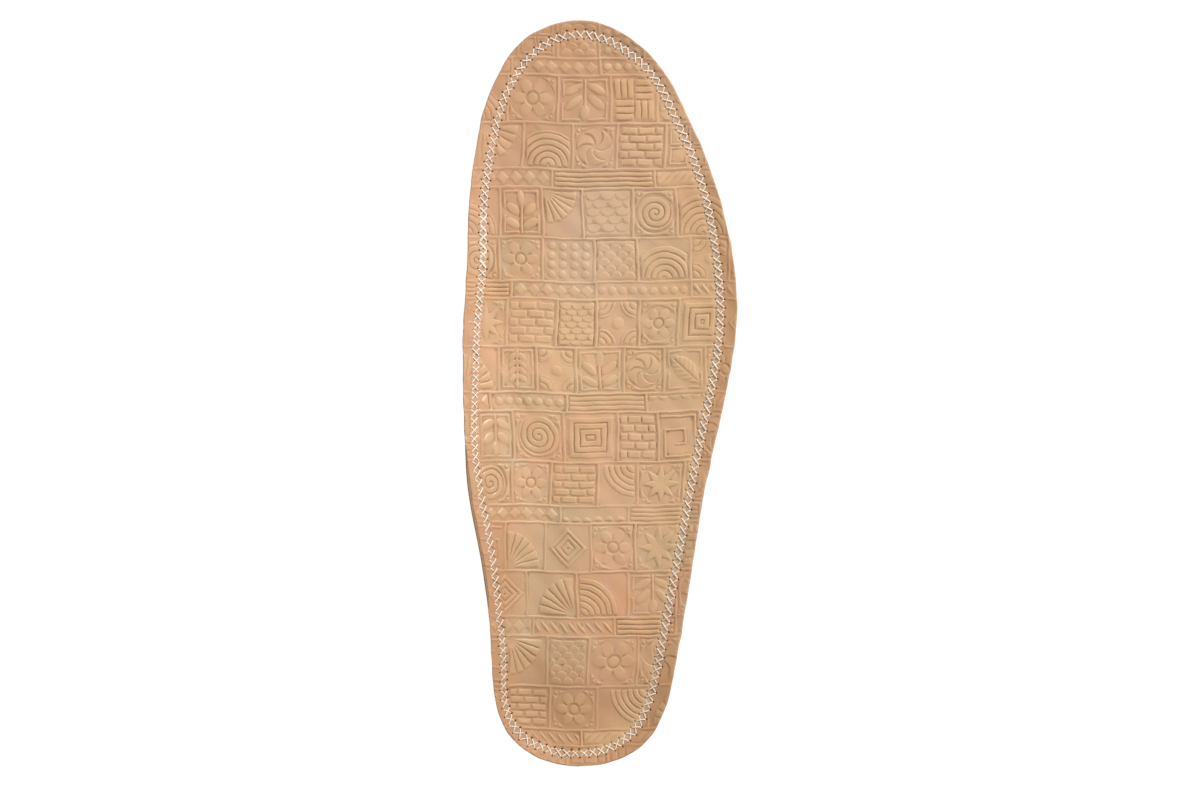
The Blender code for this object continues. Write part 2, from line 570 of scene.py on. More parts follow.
def fret(x: Array, y: Array, a: Array, b: Array) -> Array:
    """Squared spiral: a ridge along straight runs that turn inwards, corner by corner."""
    corners = (
        (-1.0, -1.0), (1.0, -1.0), (1.0, 1.0), (-0.9, 1.0),
        (-0.9, -0.35), (0.35, -0.35), (0.35, 0.4), (-0.25, 0.4),
    )
    reach = 0.92
    nearest = np.full(x.shape, np.inf)
    for (x0, y0), (x1, y1) in zip(corners[:-1], corners[1:]):
        run_x, run_y = (x1 - x0) * reach * a, (y1 - y0) * reach * b
        from_x, from_y = x - x0 * reach * a, y - y0 * reach * b
        share = np.clip((from_x * run_x + from_y * run_y) / (run_x**2 + run_y**2), 0.0, 1.0)
        nearest = np.minimum(nearest, np.hypot(from_x - share * run_x, from_y - share * run_y))
    return ridge(nearest, LINE)


def basket(x: Array, y: Array, a: Array, b: Array) -> Array:
    """Basket weave: blocks of three ridges, lying and standing in turn."""
    standing = np.sign(x) * np.sign(y) > 0.0
    block_x = repeated(x + a, a)
    block_y = repeated(y + b, b)
    over = np.where(standing, repeated(block_x + a / 2.0, a / 3.0), repeated(block_y + b / 2.0, b / 3.0))
    width = np.where(standing, a, b) / 6.0
    ends = np.where(standing, 1.0 - (2.0 * block_y / b) ** 6, 1.0 - (2.0 * block_x / a) ** 6)
    return 0.9 * eased((1.0 - np.abs(over) / width) / 0.4) * np.clip(ends, 0.0, 1.0)


def scales(x: Array, y: Array, a: Array, b: Array) -> Array:
    """Overlapping scales: each row a run of domes, stepped by half a scale, tilted to its tip."""
    pitch = 2.0 * a / 3.0
    rise = 0.55 * pitch
    row = np.floor((b - y) / rise)
    side = repeated(x + a + np.mod(row, 2.0) * pitch / 2.0, pitch)
    down = (b - y) - row * rise
    within = np.hypot(side, 0.85 * down) < 0.5 * pitch
    return np.where(within, 0.35 + 0.65 * down / rise, 0.15)


def spiral(x: Array, y: Array, a: Array, b: Array) -> Array:
    """Round plate cut by a spiral, whose radius grows by one pitch a turn."""
    pitch = 2.4
    radius = np.hypot(x, y)
    arm = repeated(radius - pitch * np.arctan2(y, x) / (2.0 * np.pi), pitch)
    return engraved(eased((0.97 * np.minimum(a, b) - radius) / PLATE_SOFT), arm)


def star(x: Array, y: Array, a: Array, b: Array) -> Array:
    """Eight-pointed star with sloping facets: its edge runs from full to half reach and back."""
    size = 1.05 * np.minimum(a, b)
    radius = np.hypot(x, y)
    turn = np.abs(repeated(np.arctan2(y, x), np.pi / 4.0)) / (np.pi / 8.0)
    inside = 1.0 - radius / (size * (0.5 + 0.5 * turn**1.6))
    facets = 0.75 * eased(inside / 0.14) + 0.6 * inside - 0.3 * ridge(turn * radius, LINE)
    return np.clip(facets, 0.0, 1.0)


def fan(x: Array, y: Array, a: Array, b: Array) -> Array:
    """Palm fan from one corner: round ribs that widen outwards, cut off at a level reach."""
    radius = np.hypot(x + a, y + b)
    turn = np.arctan2(y + b, x + a)
    spread = np.pi / 2.0 / 6.0
    ribs = dome(radius * repeated(turn, spread), 0.46 * spread * radius + 0.01)
    return ribs * eased((1.9 * np.minimum(a, b) - radius) / 0.7) * eased((radius - 2.0) / 2.0)


def hoops(x: Array, y: Array, a: Array, b: Array) -> Array:
    """Half plate on the panel's foot, cut by half rings."""
    radius = np.hypot(x, y + b)
    return grooved(radius, 1.8 * np.minimum(a, b), 0.5, 2.4)


def quarters(x: Array, y: Array, a: Array, b: Array) -> Array:
    """Quarter plates at the corners, cut by rings, and a boss in the middle."""
    size = np.minimum(a, b)
    radius = np.hypot(a - np.abs(x), b - np.abs(y))
    plates = grooved(radius, 0.88 * size, 0.6, 2.2)
    return np.maximum(plates, dome(np.hypot(x, y), 0.33 * size))


def sprout(x: Array, y: Array, a: Array, b: Array) -> Array:
    """Young plant: a bud and two pairs of oval leaves on a stem."""
    height = 0.9 * ridge(x, LINE) * (y < 0.35 * b)
    height = np.maximum(height, oval(x, y - 0.6 * b, 0.0, 0.2 * a, 0.38 * b))
    for side in (-1.0, 1.0):
        upper = oval(x - side * 0.48 * a, y - 0.12 * b, side * 0.75, 0.46 * a, 0.2 * b)
        lower = oval(x - side * 0.5 * a, y + 0.52 * b, side * 0.5, 0.46 * a, 0.2 * b)
        height = np.maximum(height, np.maximum(upper, lower))
    return height


def frames(x: Array, y: Array, a: Array, b: Array) -> Array:
    """Level panel cut by frames, one inside another."""
    level = np.minimum(a - np.abs(x), b - np.abs(y))
    return engraved(eased(level / PLATE_SOFT), repeated(level + 0.7, 2.3))


def pinwheel(x: Array, y: Array, a: Array, b: Array) -> Array:
    """Six curved blades: ridged sectors whose angle turns with the radius."""
    radius = np.hypot(x, y) / np.minimum(a, b)
    sector = repeated(np.arctan2(y, x) + 1.3 * radius, np.pi / 3.0) / (np.pi / 6.0)
    blades = np.clip(0.5 - 0.5 * sector, 0.0, 1.0) ** 0.8 * eased((1.0 - np.abs(sector)) / 0.2)
    return blades * eased((0.98 - radius) / 0.08) * eased((radius - 0.1) / 0.12)


def bricks(x: Array, y: Array, a: Array, b: Array) -> Array:
    """Small bricks in running bond: pillows in rows stepped by half a brick."""
    course = 0.4 * b
    long = 0.8 * a
    row = np.floor((y + b) / course)
    side = np.abs(repeated(x + a + np.mod(row, 2.0) * long / 2.0, long)) / (0.5 * long)
    rise = np.abs(repeated(y + b, course)) / (0.5 * course)
    return 0.85 * eased((0.92 - side) / 0.16) * eased((0.86 - rise) / 0.3)


def grain_ear(x: Array, y: Array, a: Array, b: Array) -> Array:
    """Ear of grain: pairs of slanting oval seeds up a thin stem."""
    height = 0.8 * ridge(x, LINE)
    for place in (-0.62, -0.26, 0.1, 0.46):
        for side in (-1.0, 1.0):
            seed = oval(x - side * 0.3 * a, y - place * b, side * 0.85, 0.34 * a, 0.15 * b)
            height = np.maximum(height, seed)
    return np.maximum(height, oval(x, y - 0.82 * b, 0.0, 0.13 * a, 0.2 * b))


def coffers(x: Array, y: Array, a: Array, b: Array) -> Array:
    """Four points: a four-sided pyramid in a frame at each quarter of the panel."""
    level = 1.0 - np.maximum(np.abs(repeated(x + a, a)) / a, np.abs(repeated(y + b, b)) / b) * 2.0
    frame = 0.8 * eased((level - 0.06) / 0.08) * eased((0.3 - level) / 0.08)
    return np.maximum(frame, np.clip(1.5 * (level - 0.36), 0.0, 1.0))


def corner_fields(x: Array, y: Array, a: Array, b: Array) -> Array:
    """Level fields in the four corners outside a round hollow, each with a small boss sunk in a ring."""
    size = np.minimum(a, b)
    level = 0.8 * eased((np.hypot(x, y) - 1.06 * size) / 0.45)
    boss = np.hypot(np.abs(x) - 0.86 * a, np.abs(y) - 0.86 * b)
    return np.maximum(level * (1.0 - 0.8 * ridge(boss - 0.9, 0.5)), 0.0)


def inner_rib(x: Array, y: Array, a: Array, b: Array) -> Array:
    """A second, thinner rib just inside the panel's border, broken at the middle of each side."""
    rib_line = ridge(np.minimum(a - np.abs(x), b - np.abs(y)) - 0.5, 0.55)
    gap = np.minimum(np.abs(x) / a, np.abs(y) / b)
    return 0.7 * rib_line * eased((gap - 0.12) / 0.06)


def beads(x: Array, y: Array, a: Array, b: Array) -> Array:
    """Row of domes."""
    return dome(np.hypot(repeated(x + a, 3.9), y), np.minimum(1.5, b))


def rope(x: Array, y: Array, a: Array, b: Array) -> Array:
    """Twisted rope: slanting round strands with rounded sides."""
    strands = dome(repeated(x + 0.9 * y, 3.2), 1.6)
    return strands * np.clip(1.0 - (y / b) ** 4, 0.0, 1.0)


def lozenges(x: Array, y: Array, a: Array, b: Array) -> Array:
    """Row of rounded four-sided pillows."""
    return dome(np.abs(repeated(x + a, 5.2)) / 2.6 + np.abs(y) / b, 1.0)


def rib(x: Array, y: Array, a: Array, b: Array) -> Array:
    """Level band cut by two grooves along it."""
    return engraved(eased((b - np.abs(y)) / PLATE_SOFT) * (np.abs(x) < a), np.abs(y) - b / 3.0)


def seeds(x: Array, y: Array, a: Array, b: Array) -> Array:
    """Row of slanting ovals."""
    return oval(repeated(x + a, 3.4), y, 0.9, 1.05 * b, 0.62)


def scallops(x: Array, y: Array, a: Array, b: Array) -> Array:
    """Row of half discs that stand on the band's foot."""
    return dome(np.hypot(repeated(x + a, 4.2), y + b), 1.75) * eased((y + b) / 0.3)


MOTIF_SHAPES: dict[Motif, Callable[[Array, Array, Array, Array], Array]] = {
    Motif.ROSETTE: rosette,
    Motif.LEAF: leaf,
    Motif.RIPPLES: ripples,
    Motif.DIAMONDS: diamonds,
    Motif.PEBBLES: pebbles,
    Motif.FRET: fret,
    Motif.BASKET: basket,
    Motif.SCALES: scales,
    Motif.SPIRAL: spiral,
    Motif.STAR: star,
    Motif.FAN: fan,
    Motif.HOOPS: hoops,
    Motif.QUARTERS: quarters,
    Motif.SPROUT: sprout,
    Motif.FRAMES: frames,
    Motif.PINWHEEL: pinwheel,
    Motif.BRICKS: bricks,
    Motif.GRAIN_EAR: grain_ear,
    Motif.COFFERS: coffers,
    Motif.BEADS: beads,
    Motif.ROPE: rope,
    Motif.LOZENGES: lozenges,
    Motif.RIB: rib,
    Motif.SEEDS: seeds,
    Motif.SCALLOPS: scallops,
}


class PanelLayout(NamedTuple):
    """What each point of the leather knows of its panel."""

    across: Array
    along: Array
    half_width: Array
    half_height: Array
    motif: Array
    tone: Array
    strength: Array
    border: Array

    @staticmethod
    def empty(shape: tuple[int, ...]) -> PanelLayout:
        """A layout of zeros, with no motif anywhere."""
        numbers = [np.zeros(shape) for _ in range(4)]
        return PanelLayout(*numbers, np.full(shape, -1), np.zeros(shape), np.ones(shape), np.ones(shape))


@dataclass(frozen=True)
class EmbossedPanels:
    """Layout of the pressed pattern: tall bands of panels and narrow bands between, stepped like bricks."""

    band_heights: tuple[float, ...] = (18.5, 6.6, 16.8, 19.2, 7.2, 17.6)
    first_band: float = -12.0
    last_band: float = 300.0
    half_breadth: float = 75.0
    covered_breadth: float = 187.5
    motif_rounds: int = 3
    narrow_band: float = 10.0
    panel_widths: tuple[float, float] = (15.0, 21.0)
    narrow_widths: tuple[float, float] = (24.0, 40.0)
    rib_half_width: float = 0.66
    panel_margin: float = 1.25
    band_margin: float = 0.95
    overrun: float = 0.1
    overrun_soft: float = 0.35
    strengths: tuple[float, float] = (0.82, 1.0)
    borders: tuple[float, float] = (0.45, 0.9)
    worn_share: float = 0.1
    sway: float = 0.4
    wobble: float = 0.08
    seed: int = 7

    def relief(self, x: Array, y: Array) -> tuple[Array, Array]:
        """Height of the pressed pattern at points of the flat leather.

        Border ribs, corner fields and each panel's own motif are joined by taking the greater height, and
        a slow product of sines wears it down in places.

        Args:
            x: Places across the foot.
            y: Places along the foot.

        Returns:
            Height from 0 to 1, and a tone from -1 to 1 that is the same all over a panel.
        """
        draw = np.random.default_rng(self.seed)
        x, y = self.hand_cut(x, y)
        layout = PanelLayout.empty(x.shape)
        bottom = self.first_band
        count = 0
        while bottom < self.last_band:
            tall = self.band_heights[count % len(self.band_heights)]
            in_band = (y >= bottom) & (y < bottom + tall)
            self.fill_band(draw, tall, in_band, x, y - bottom - tall / 2.0, layout)
            bottom += tall
            count += 1
        from_side = layout.half_width - np.abs(layout.across)
        from_foot = layout.half_height - np.abs(layout.along)
        height = layout.border * ridge(np.minimum(from_side, from_foot), self.rib_half_width)
        for number, motif in enumerate(Motif):
            chosen = layout.motif == number
            margin = self.band_margin if motif in BAND_MOTIFS else self.panel_margin
            u, v = layout.across[chosen], layout.along[chosen]
            a, b = layout.half_width[chosen] - margin, layout.half_height[chosen] - margin
            shape = MOTIF_SHAPES[motif](u, v, a, b)
            if motif in ROUND_MOTIFS:
                shape = np.maximum(shape, corner_fields(u, v, a, b))
            if motif in UPRIGHT_MOTIFS:
                shape = np.maximum(shape, inner_rib(u, v, a, b))
            inside = eased((a + self.overrun - np.abs(u)) / self.overrun_soft)
            inside = inside * eased((b + self.overrun - np.abs(v)) / self.overrun_soft)
            shape = shape * layout.strength[chosen] * inside
            height[chosen] = np.maximum(height[chosen], shape)
        clouds = np.sin(x / 4.1 + 1.6 * np.sin(y / 7.3)) * np.sin(y / 5.2 + 1.1 * np.sin(x / 6.7))
        wear = 1.0 - self.worn_share + self.worn_share * clouds
        return np.clip(height * wear, 0.0, 1.0), layout.tone

    def hand_cut(self, x: Array, y: Array) -> tuple[Array, Array]:
        """Places moved a little, as a hand-cut die's lines waver: long sways and short wobbles of sines.

        Args:
            x: Places across the foot.
            y: Places along the foot.

        Returns:
            The moved places, across and along.
        """
        sway_x = self.sway * (np.sin(y / 11.0) + 0.5 * np.sin(y / 4.7 + x / 9.0))
        sway_y = self.sway * (np.sin(x / 13.0 + 1.0) + 0.5 * np.sin(x / 5.3 + 2.0))
        short_x = self.wobble * (np.sin(y / 1.7 + 1.9 * np.sin(x / 3.1)) + 0.6 * np.sin(y / 0.8 + x / 1.3))
        short_y = self.wobble * (np.sin(x / 1.8 + 1.7 * np.sin(y / 2.7)) + 0.6 * np.sin(x / 0.9 - y / 1.2))
        return x + sway_x + short_x, y + sway_y + short_y

    def fill_band(self, draw: np.random.Generator, tall: float, in_band: Array, x: Array, y: Array,
                  layout: PanelLayout) -> None:
        """Set out the panels of one band and note each point's panel.

        Args:
            draw: Seeded source of widths and choices.
            tall: The band's height.
            in_band: Mask of the points in the band.
            x: Places across the foot.
            y: Places along the foot from the band's middle.
            layout: Filled with each point's place in its panel and what the panel holds.
        """
        narrow = tall < self.narrow_band
        low, high = self.narrow_widths if narrow else self.panel_widths
        widths = draw.uniform(low, high, int(self.covered_breadth / low))
        limits = np.concatenate([[0.0], np.cumsum(widths)]) - self.half_breadth - draw.uniform(0.0, high)
        options = BAND_MOTIFS if narrow else PANEL_MOTIFS
        rounds = [draw.permutation(len(options)) for _ in range(self.motif_rounds)]
        order = np.concatenate(rounds)[: len(widths)]
        numbers = np.array([list(Motif).index(option) for option in options])
        flips = draw.choice([-1.0, 1.0], (2, len(widths)))
        tones = draw.uniform(-1.0, 1.0, len(widths))
        strengths = draw.uniform(*self.strengths, len(widths))
        borders = draw.uniform(*self.borders, len(widths))
        panel = np.clip(np.searchsorted(limits, x[in_band], side="right") - 1, 0, len(widths) - 1)
        centres = (limits[:-1] + limits[1:]) / 2.0
        layout.across[in_band] = (x[in_band] - centres[panel]) * flips[0, panel]
        layout.along[in_band] = y[in_band] * flips[1, panel]
        layout.half_width[in_band] = widths[panel] / 2.0
        layout.half_height[in_band] = tall / 2.0
        layout.motif[in_band] = numbers[order][panel]
        layout.tone[in_band] = tones[panel]
        layout.strength[in_band] = strengths[panel]
        layout.border[in_band] = borders[panel]


# Finishes


class Ramp(NamedTuple):
    """Range of a number, and the values that its two ends become."""

    low: float
    high: float
    to_low: float = 0.0
    to_high: float = 1.0


class Graph:
    """A node tree with short ways to add nodes and join them."""

    def __init__(self, tree: bpy.types.NodeTree) -> None:
        """Keep the tree that nodes go into."""
        self.tree = tree

    def add(self, kind: str, settings: dict | None = None, **inputs: object) -> bpy.types.Node:
        """Add a node.

        Args:
            kind: Blender's type name without the ShaderNode prefix, or a full Node type name.
            settings: Properties of the node itself.
            inputs: Socket values or output sockets, by socket name with _ for a space.

        Returns:
            The new node.
        """
        full = kind if kind.startswith("Node") else "ShaderNode" + kind
        node = self.tree.nodes.new(full)
        for name, value in (settings or {}).items():
            setattr(node, name, value)
        for name, value in inputs.items():
            self.feed(node.inputs[name.replace("_", " ")], value)
        return node

    def feed(self, socket: bpy.types.NodeSocket, value: object) -> None:
        """Fill an input.

        Args:
            socket: The input.
            value: An output to link to it, or its own value.
        """
        if isinstance(value, bpy.types.NodeSocket):
            self.tree.links.new(value, socket)
        else:
            socket.default_value = value

    def attribute(self, name: str) -> bpy.types.NodeSocket:
        """The number that the mesh holds under a name."""
        return self.add("Attribute", {"attribute_name": name}).outputs["Fac"]

    def math(self, operation: str, first: object, second: object = 0.0,
             clamp: bool = False) -> bpy.types.NodeSocket:
        """One arithmetic step.

        Args:
            operation: Blender's name of the step.
            first: First number or output.
            second: Second number or output.
            clamp: Whether the result is held between 0 and 1.

        Returns:
            The result's output.
        """
        node = self.add("Math", {"operation": operation, "use_clamp": clamp})
        self.feed(node.inputs[0], first)
        self.feed(node.inputs[1], second)
        return node.outputs[0]

    def mix(self, share: object, first: object, second: object) -> bpy.types.NodeSocket:
        """Colour between two colours.

        Args:
            share: Share of the second colour.
            first: Plain colour or output.
            second: Plain colour or output.

        Returns:
            The mixed colour's output.
        """
        node = self.add("Mix", {"data_type": "RGBA"})
        self.feed(node.inputs["Factor"], share)
        colours = [socket for socket in node.inputs if socket.type == "RGBA"]
        for socket, value in zip(colours, (first, second)):
            self.feed(socket, (*value, 1.0) if isinstance(value, tuple) else value)
        return next(socket for socket in node.outputs if socket.type == "RGBA")

    def ranged(self, value: object, ramp: Ramp) -> bpy.types.NodeSocket:
        """Number carried along a ramp.

        Args:
            value: Number or output.
            ramp: The range and what it becomes.

        Returns:
            The result's output, held at the ramp's ends.
        """
        node = self.add("MapRange", {"clamp": True}, Value=value, From_Min=ramp.low, From_Max=ramp.high,
                        To_Min=ramp.to_low, To_Max=ramp.to_high)
        return node.outputs["Result"]


class Layer(NamedTuple):
    """A texture in a shared group: its node, the output that is read, and its fixed inputs."""

    kind: str
    output: str
    inputs: dict[str, float]


def layered_group(name: str, inputs: tuple[str, str, str], output: str,
                  layers: tuple[Layer, Layer]) -> bpy.types.NodeTree:
    """Two textures on Object coordinates, mixed by a share.

    Args:
        name: Name of the group.
        inputs: Names of the two scales and of the second texture's share.
        output: Name of the mixed number.
        layers: The two textures.

    Returns:
        The new group.
    """
    group = bpy.data.node_groups.new(name, "ShaderNodeTree")
    for socket in inputs:
        group.interface.new_socket(socket, in_out="INPUT", socket_type="NodeSocketFloat")
    group.interface.new_socket(output, in_out="OUTPUT", socket_type="NodeSocketFloat")
    graph = Graph(group)
    given = graph.add("NodeGroupInput").outputs
    place = graph.add("TexCoord").outputs["Object"]
    both = graph.add("Mix", {"data_type": "FLOAT"}, Factor=given[inputs[2]])
    for layer, scale, socket in zip(layers, inputs, "AB"):
        texture = graph.add(layer.kind, Vector=place, Scale=given[scale], **layer.inputs)
        graph.feed(both.inputs[socket], texture.outputs[layer.output])
    result = graph.add("NodeGroupOutput")
    graph.feed(result.inputs[output], both.outputs["Result"])
    return group


class Mottle(NamedTuple):
    """Scales of the shared clouds on one finish, and the fine clouds' share."""

    soft_scale: float
    fine_scale: float
    fine_share: float


class Pores(NamedTuple):
    """Scales of the shared cells and creases on one finish, the creases' share, and the bump in metres."""

    cell_scale: float
    crease_scale: float
    crease_share: float
    strength: float
    depth: float


@dataclass(frozen=True)
class SharedEffects:
    """Node groups that more than one finish uses, each placed with the finish's own values."""

    mottle: bpy.types.NodeTree
    pores: bpy.types.NodeTree

    @staticmethod
    def make() -> SharedEffects:
        """Build the groups once.

        Returns:
            Soft and fine clouds as a tone about 0.5, and small cells with creases as a height.
        """
        clouds = (Layer("TexNoise", "Fac", {"Detail": 3.0}), Layer("TexNoise", "Fac", {"Detail": 4.0}))
        cells = (Layer("TexVoronoi", "Distance", {}), Layer("TexNoise", "Fac", {"Detail": 5.0}))
        return SharedEffects(
            layered_group("mottle", ("Soft Scale", "Fine Scale", "Fine Share"), "Tone", clouds),
            layered_group("pores", ("Cell Scale", "Crease Scale", "Crease Share"), "Height", cells),
        )

    def tone(self, graph: Graph, mottle: Mottle) -> bpy.types.NodeSocket:
        """Place the clouds in a finish.

        Args:
            graph: The material's graph.
            mottle: The finish's own scales.

        Returns:
            The tone's output, a number about 0.5.
        """
        node = graph.add("Group", {"node_tree": self.mottle}, Soft_Scale=mottle.soft_scale,
                         Fine_Scale=mottle.fine_scale, Fine_Share=mottle.fine_share)
        return node.outputs["Tone"]

    def grain(self, graph: Graph, pores: Pores) -> bpy.types.NodeSocket:
        """Place the cells and creases in a finish.

        Args:
            graph: The material's graph.
            pores: The finish's own scales and bump.

        Returns:
            The bumped normal's output.
        """
        node = graph.add("Group", {"node_tree": self.pores}, Cell_Scale=pores.cell_scale,
                         Crease_Scale=pores.crease_scale, Crease_Share=pores.crease_share)
        bump = graph.add("Bump", Height=node.outputs["Height"], Strength=pores.strength, Distance=pores.depth)
        return bump.outputs["Normal"]


def blank_material(name: str) -> tuple[bpy.types.Material, Graph, bpy.types.Node]:
    """Start a material.

    Args:
        name: The material's name.

    Returns:
        The material, its graph and its Principled shader.
    """
    material = bpy.data.materials.new(name)
    material.use_nodes = True
    return material, Graph(material.node_tree), material.node_tree.nodes["Principled BSDF"]


class Patch(NamedTuple):
    """Oval of leather of another tint: middle and reach in metres across and along, colour, and share."""

    centre: tuple[float, float]
    reach: tuple[float, float]
    colour: Colour
    share: float


class Tint(NamedTuple):
    """Colour laid over the leather by one of the cover's attributes."""

    attribute: str
    ramp: Ramp
    colour: Colour


@dataclass(frozen=True)
class LeatherFinish:
    """Natural tan leather: cloudy tone, paler on the relief, raw brown at the cut, painted shade in the
    creases, holes, medial flange and towards toe and heel, painted light on the lateral slopes.

    The ramps to toe and heel start and end at metres along the foot from the part's middle.
    """

    clouds: Mottle = Mottle(26.0, 170.0, 0.4)
    cloud_mix: Ramp = Ramp(0.38, 0.62)
    panel_turns: Ramp = Ramp(-1.0, 1.0, -0.3, 0.3)
    warm: Colour = (0.65, 0.338, 0.168)
    cool: Colour = (0.56, 0.376, 0.218)
    rosy_clouds: Mottle = Mottle(30.0, 160.0, 0.45)
    rosy_mix: Ramp = Ramp(0.45, 0.61, 0.0, 0.75)
    rosy: Colour = (0.64, 0.35, 0.222)
    patches: tuple[Patch, ...] = (
        Patch((0.0, 0.066), (0.026, 0.05), (0.6, 0.424, 0.292), 0.75),
        Patch((-0.014, 0.012), (0.034, 0.04), (0.76, 0.5, 0.27), 0.4),
        Patch((0.029, 0.022), (0.026, 0.08), (0.53, 0.366, 0.2), 0.55),
        # Painted shade over the medial heel, which faces the key light.
        Patch((-0.03, -0.126), (0.03, 0.034), (0.4, 0.22, 0.102), 0.7),
        Patch((0.006, -0.045), (0.026, 0.028), (0.66, 0.44, 0.25), 0.35),
        # Painted light on the lateral toe, whose rim faces away from the key light.
        Patch((0.031, 0.112), (0.018, 0.036), (0.95, 0.62, 0.38), 0.6),
        # Painted light on the lateral heel, whose rim faces away from the key light.
        Patch((0.036, -0.1), (0.014, 0.05), (0.76, 0.44, 0.22), 0.4),
    )
    patch_clouds: Ramp = Ramp(0.3, 0.7, 0.25, -0.25)
    patch_fall: tuple[float, float] = (0.25, 1.05)
    # Painted shade: the leather darkens towards toe and heel.
    to_toe: Ramp = Ramp(0.045, 0.12, 0.0, 0.64)
    toe: Colour = (0.46, 0.243, 0.13)
    to_heel: Ramp = Ramp(-0.092, -0.138, 0.0, 0.92)
    heel: Colour = (0.45, 0.236, 0.108)
    tints: tuple[Tint, ...] = (
        # Painted light on the lateral slopes, which face away from the key light.
        Tint("painted_lateral_light", Ramp(0.0, 1.0, 0.0, 0.45), (0.76, 0.52, 0.28)),
        Tint("margin", Ramp(0.0, 1.0, 0.0, 0.8), (0.595, 0.325, 0.163)),
        # Painted shade on the medial flange, which faces the key light.
        Tint("flange_shade", Ramp(0.0, 1.0, 0.0, 0.7), (0.495, 0.258, 0.125)),
        Tint("relief", Ramp(0.1, 0.9, 0.0, 0.5), (0.63, 0.402, 0.2)),
        # Painted shade in the creases beside the relief.
        Tint("crease_shade", Ramp(0.07, 0.27, 0.0, 0.9), (0.25, 0.115, 0.045)),
    )
    # Painted shade in the needle holes.
    needle_holes: Tint = Tint("pierced", Ramp(0.12, 0.9, 0.0, 0.95), (0.07, 0.03, 0.012))
    fibres: Mottle = Mottle(420.0, 1500.0, 0.5)
    fibre_mix: Ramp = Ramp(0.38, 0.62)
    raw_dark: Colour = (0.46, 0.245, 0.107)
    raw_light: Colour = (0.65, 0.388, 0.193)
    roughness: Ramp = Ramp(0.3, 0.7, 0.48, 0.62)
    polish: Ramp = Ramp(0.2, 1.0, 0.0, 0.04)
    raw_roughness: Ramp = Ramp(0.0, 0.6)
    specular: float = 0.4
    coat: Ramp = Ramp(0.1, 0.8, 0.0, 0.28)
    coat_roughness: float = 0.28
    pores: Pores = Pores(1500.0, 700.0, 0.55, 0.5, 0.0001)

    def make(self, effects: SharedEffects) -> bpy.types.Material:
        """Build the leather's material.

        Args:
            effects: Shared node groups.

        Returns:
            A material that reads the cover's attributes.
        """
        material, graph, shader = blank_material("cover_leather")
        tone = effects.tone(graph, self.clouds)
        colour = self.ground(graph, effects, tone)
        for tint in self.tints:
            colour = self.tinted(graph, colour, tint)
        fibre = graph.ranged(effects.tone(graph, self.fibres), self.fibre_mix)
        raw = graph.mix(fibre, self.raw_dark, self.raw_light)
        cut_edge = graph.attribute("cut_edge")
        colour = self.tinted(graph, graph.mix(cut_edge, colour, raw), self.needle_holes)
        polish = graph.ranged(graph.attribute("relief"), self.polish)
        rough = graph.math("SUBTRACT", graph.ranged(tone, self.roughness), polish)
        rough = graph.math("MAXIMUM", rough, graph.ranged(cut_edge, self.raw_roughness))
        graph.feed(shader.inputs["Base Color"], colour)
        graph.feed(shader.inputs["Roughness"], rough)
        graph.feed(shader.inputs["Coat Weight"], graph.ranged(graph.attribute("gloss"), self.coat))
        graph.feed(shader.inputs["Normal"], effects.grain(graph, self.pores))
        shader.inputs["Specular IOR Level"].default_value = self.specular
        shader.inputs["Coat Roughness"].default_value = self.coat_roughness
        return material

    def ground(self, graph: Graph, effects: SharedEffects,
               tone: bpy.types.NodeSocket) -> bpy.types.NodeSocket:
        """Colour of the bare leather.

        Args:
            graph: The material's graph.
            effects: Shared node groups.
            tone: Cloudiness over the hide.

        Returns:
            A colour that turns with the clouds and panels, has the patches, and darkens towards toe and heel
            as painted shade.
        """
        panel = graph.ranged(graph.attribute("panel_tone"), self.panel_turns)
        share = graph.math("ADD", graph.ranged(tone, self.cloud_mix), panel, clamp=True)
        colour = graph.mix(share, self.cool, self.warm)
        rosy = graph.ranged(effects.tone(graph, self.rosy_clouds), self.rosy_mix)
        colour = graph.mix(rosy, colour, self.rosy)
        place = graph.add("SeparateXYZ", Vector=graph.add("TexCoord").outputs["Object"]).outputs
        for patch in self.patches:
            colour = graph.mix(self.oval_mask(graph, place, tone, patch), colour, patch.colour)
        colour = graph.mix(graph.ranged(place["Y"], self.to_toe), colour, self.toe)
        return graph.mix(graph.ranged(place["Y"], self.to_heel), colour, self.heel)

    def tinted(self, graph: Graph, colour: bpy.types.NodeSocket, tint: Tint) -> bpy.types.NodeSocket:
        """Colour with a tint laid over it."""
        return graph.mix(graph.ranged(graph.attribute(tint.attribute), tint.ramp), colour, tint.colour)

    def oval_mask(self, graph: Graph, place: bpy.types.bpy_prop_collection, tone: bpy.types.NodeSocket,
                  patch: Patch) -> bpy.types.NodeSocket:
        """Mask of a patch: an oval with cloudy sides.

        Args:
            graph: The material's graph.
            place: Object coordinates, by axis.
            tone: Cloudiness over the hide.
            patch: The oval.

        Returns:
            The patch's share, falling from its middle to 0 at its reach.
        """
        squares = []
        for axis, centre, reach in zip("XY", patch.centre, patch.reach):
            away = graph.math("DIVIDE", graph.math("SUBTRACT", place[axis], centre), reach)
            squares.append(graph.math("MULTIPLY", away, away))
        far = graph.math("SQRT", graph.math("ADD", *squares))
        cloudy = graph.math("ADD", far, graph.ranged(tone, self.patch_clouds))
        return graph.ranged(cloudy, Ramp(*self.patch_fall, patch.share, 0.0))


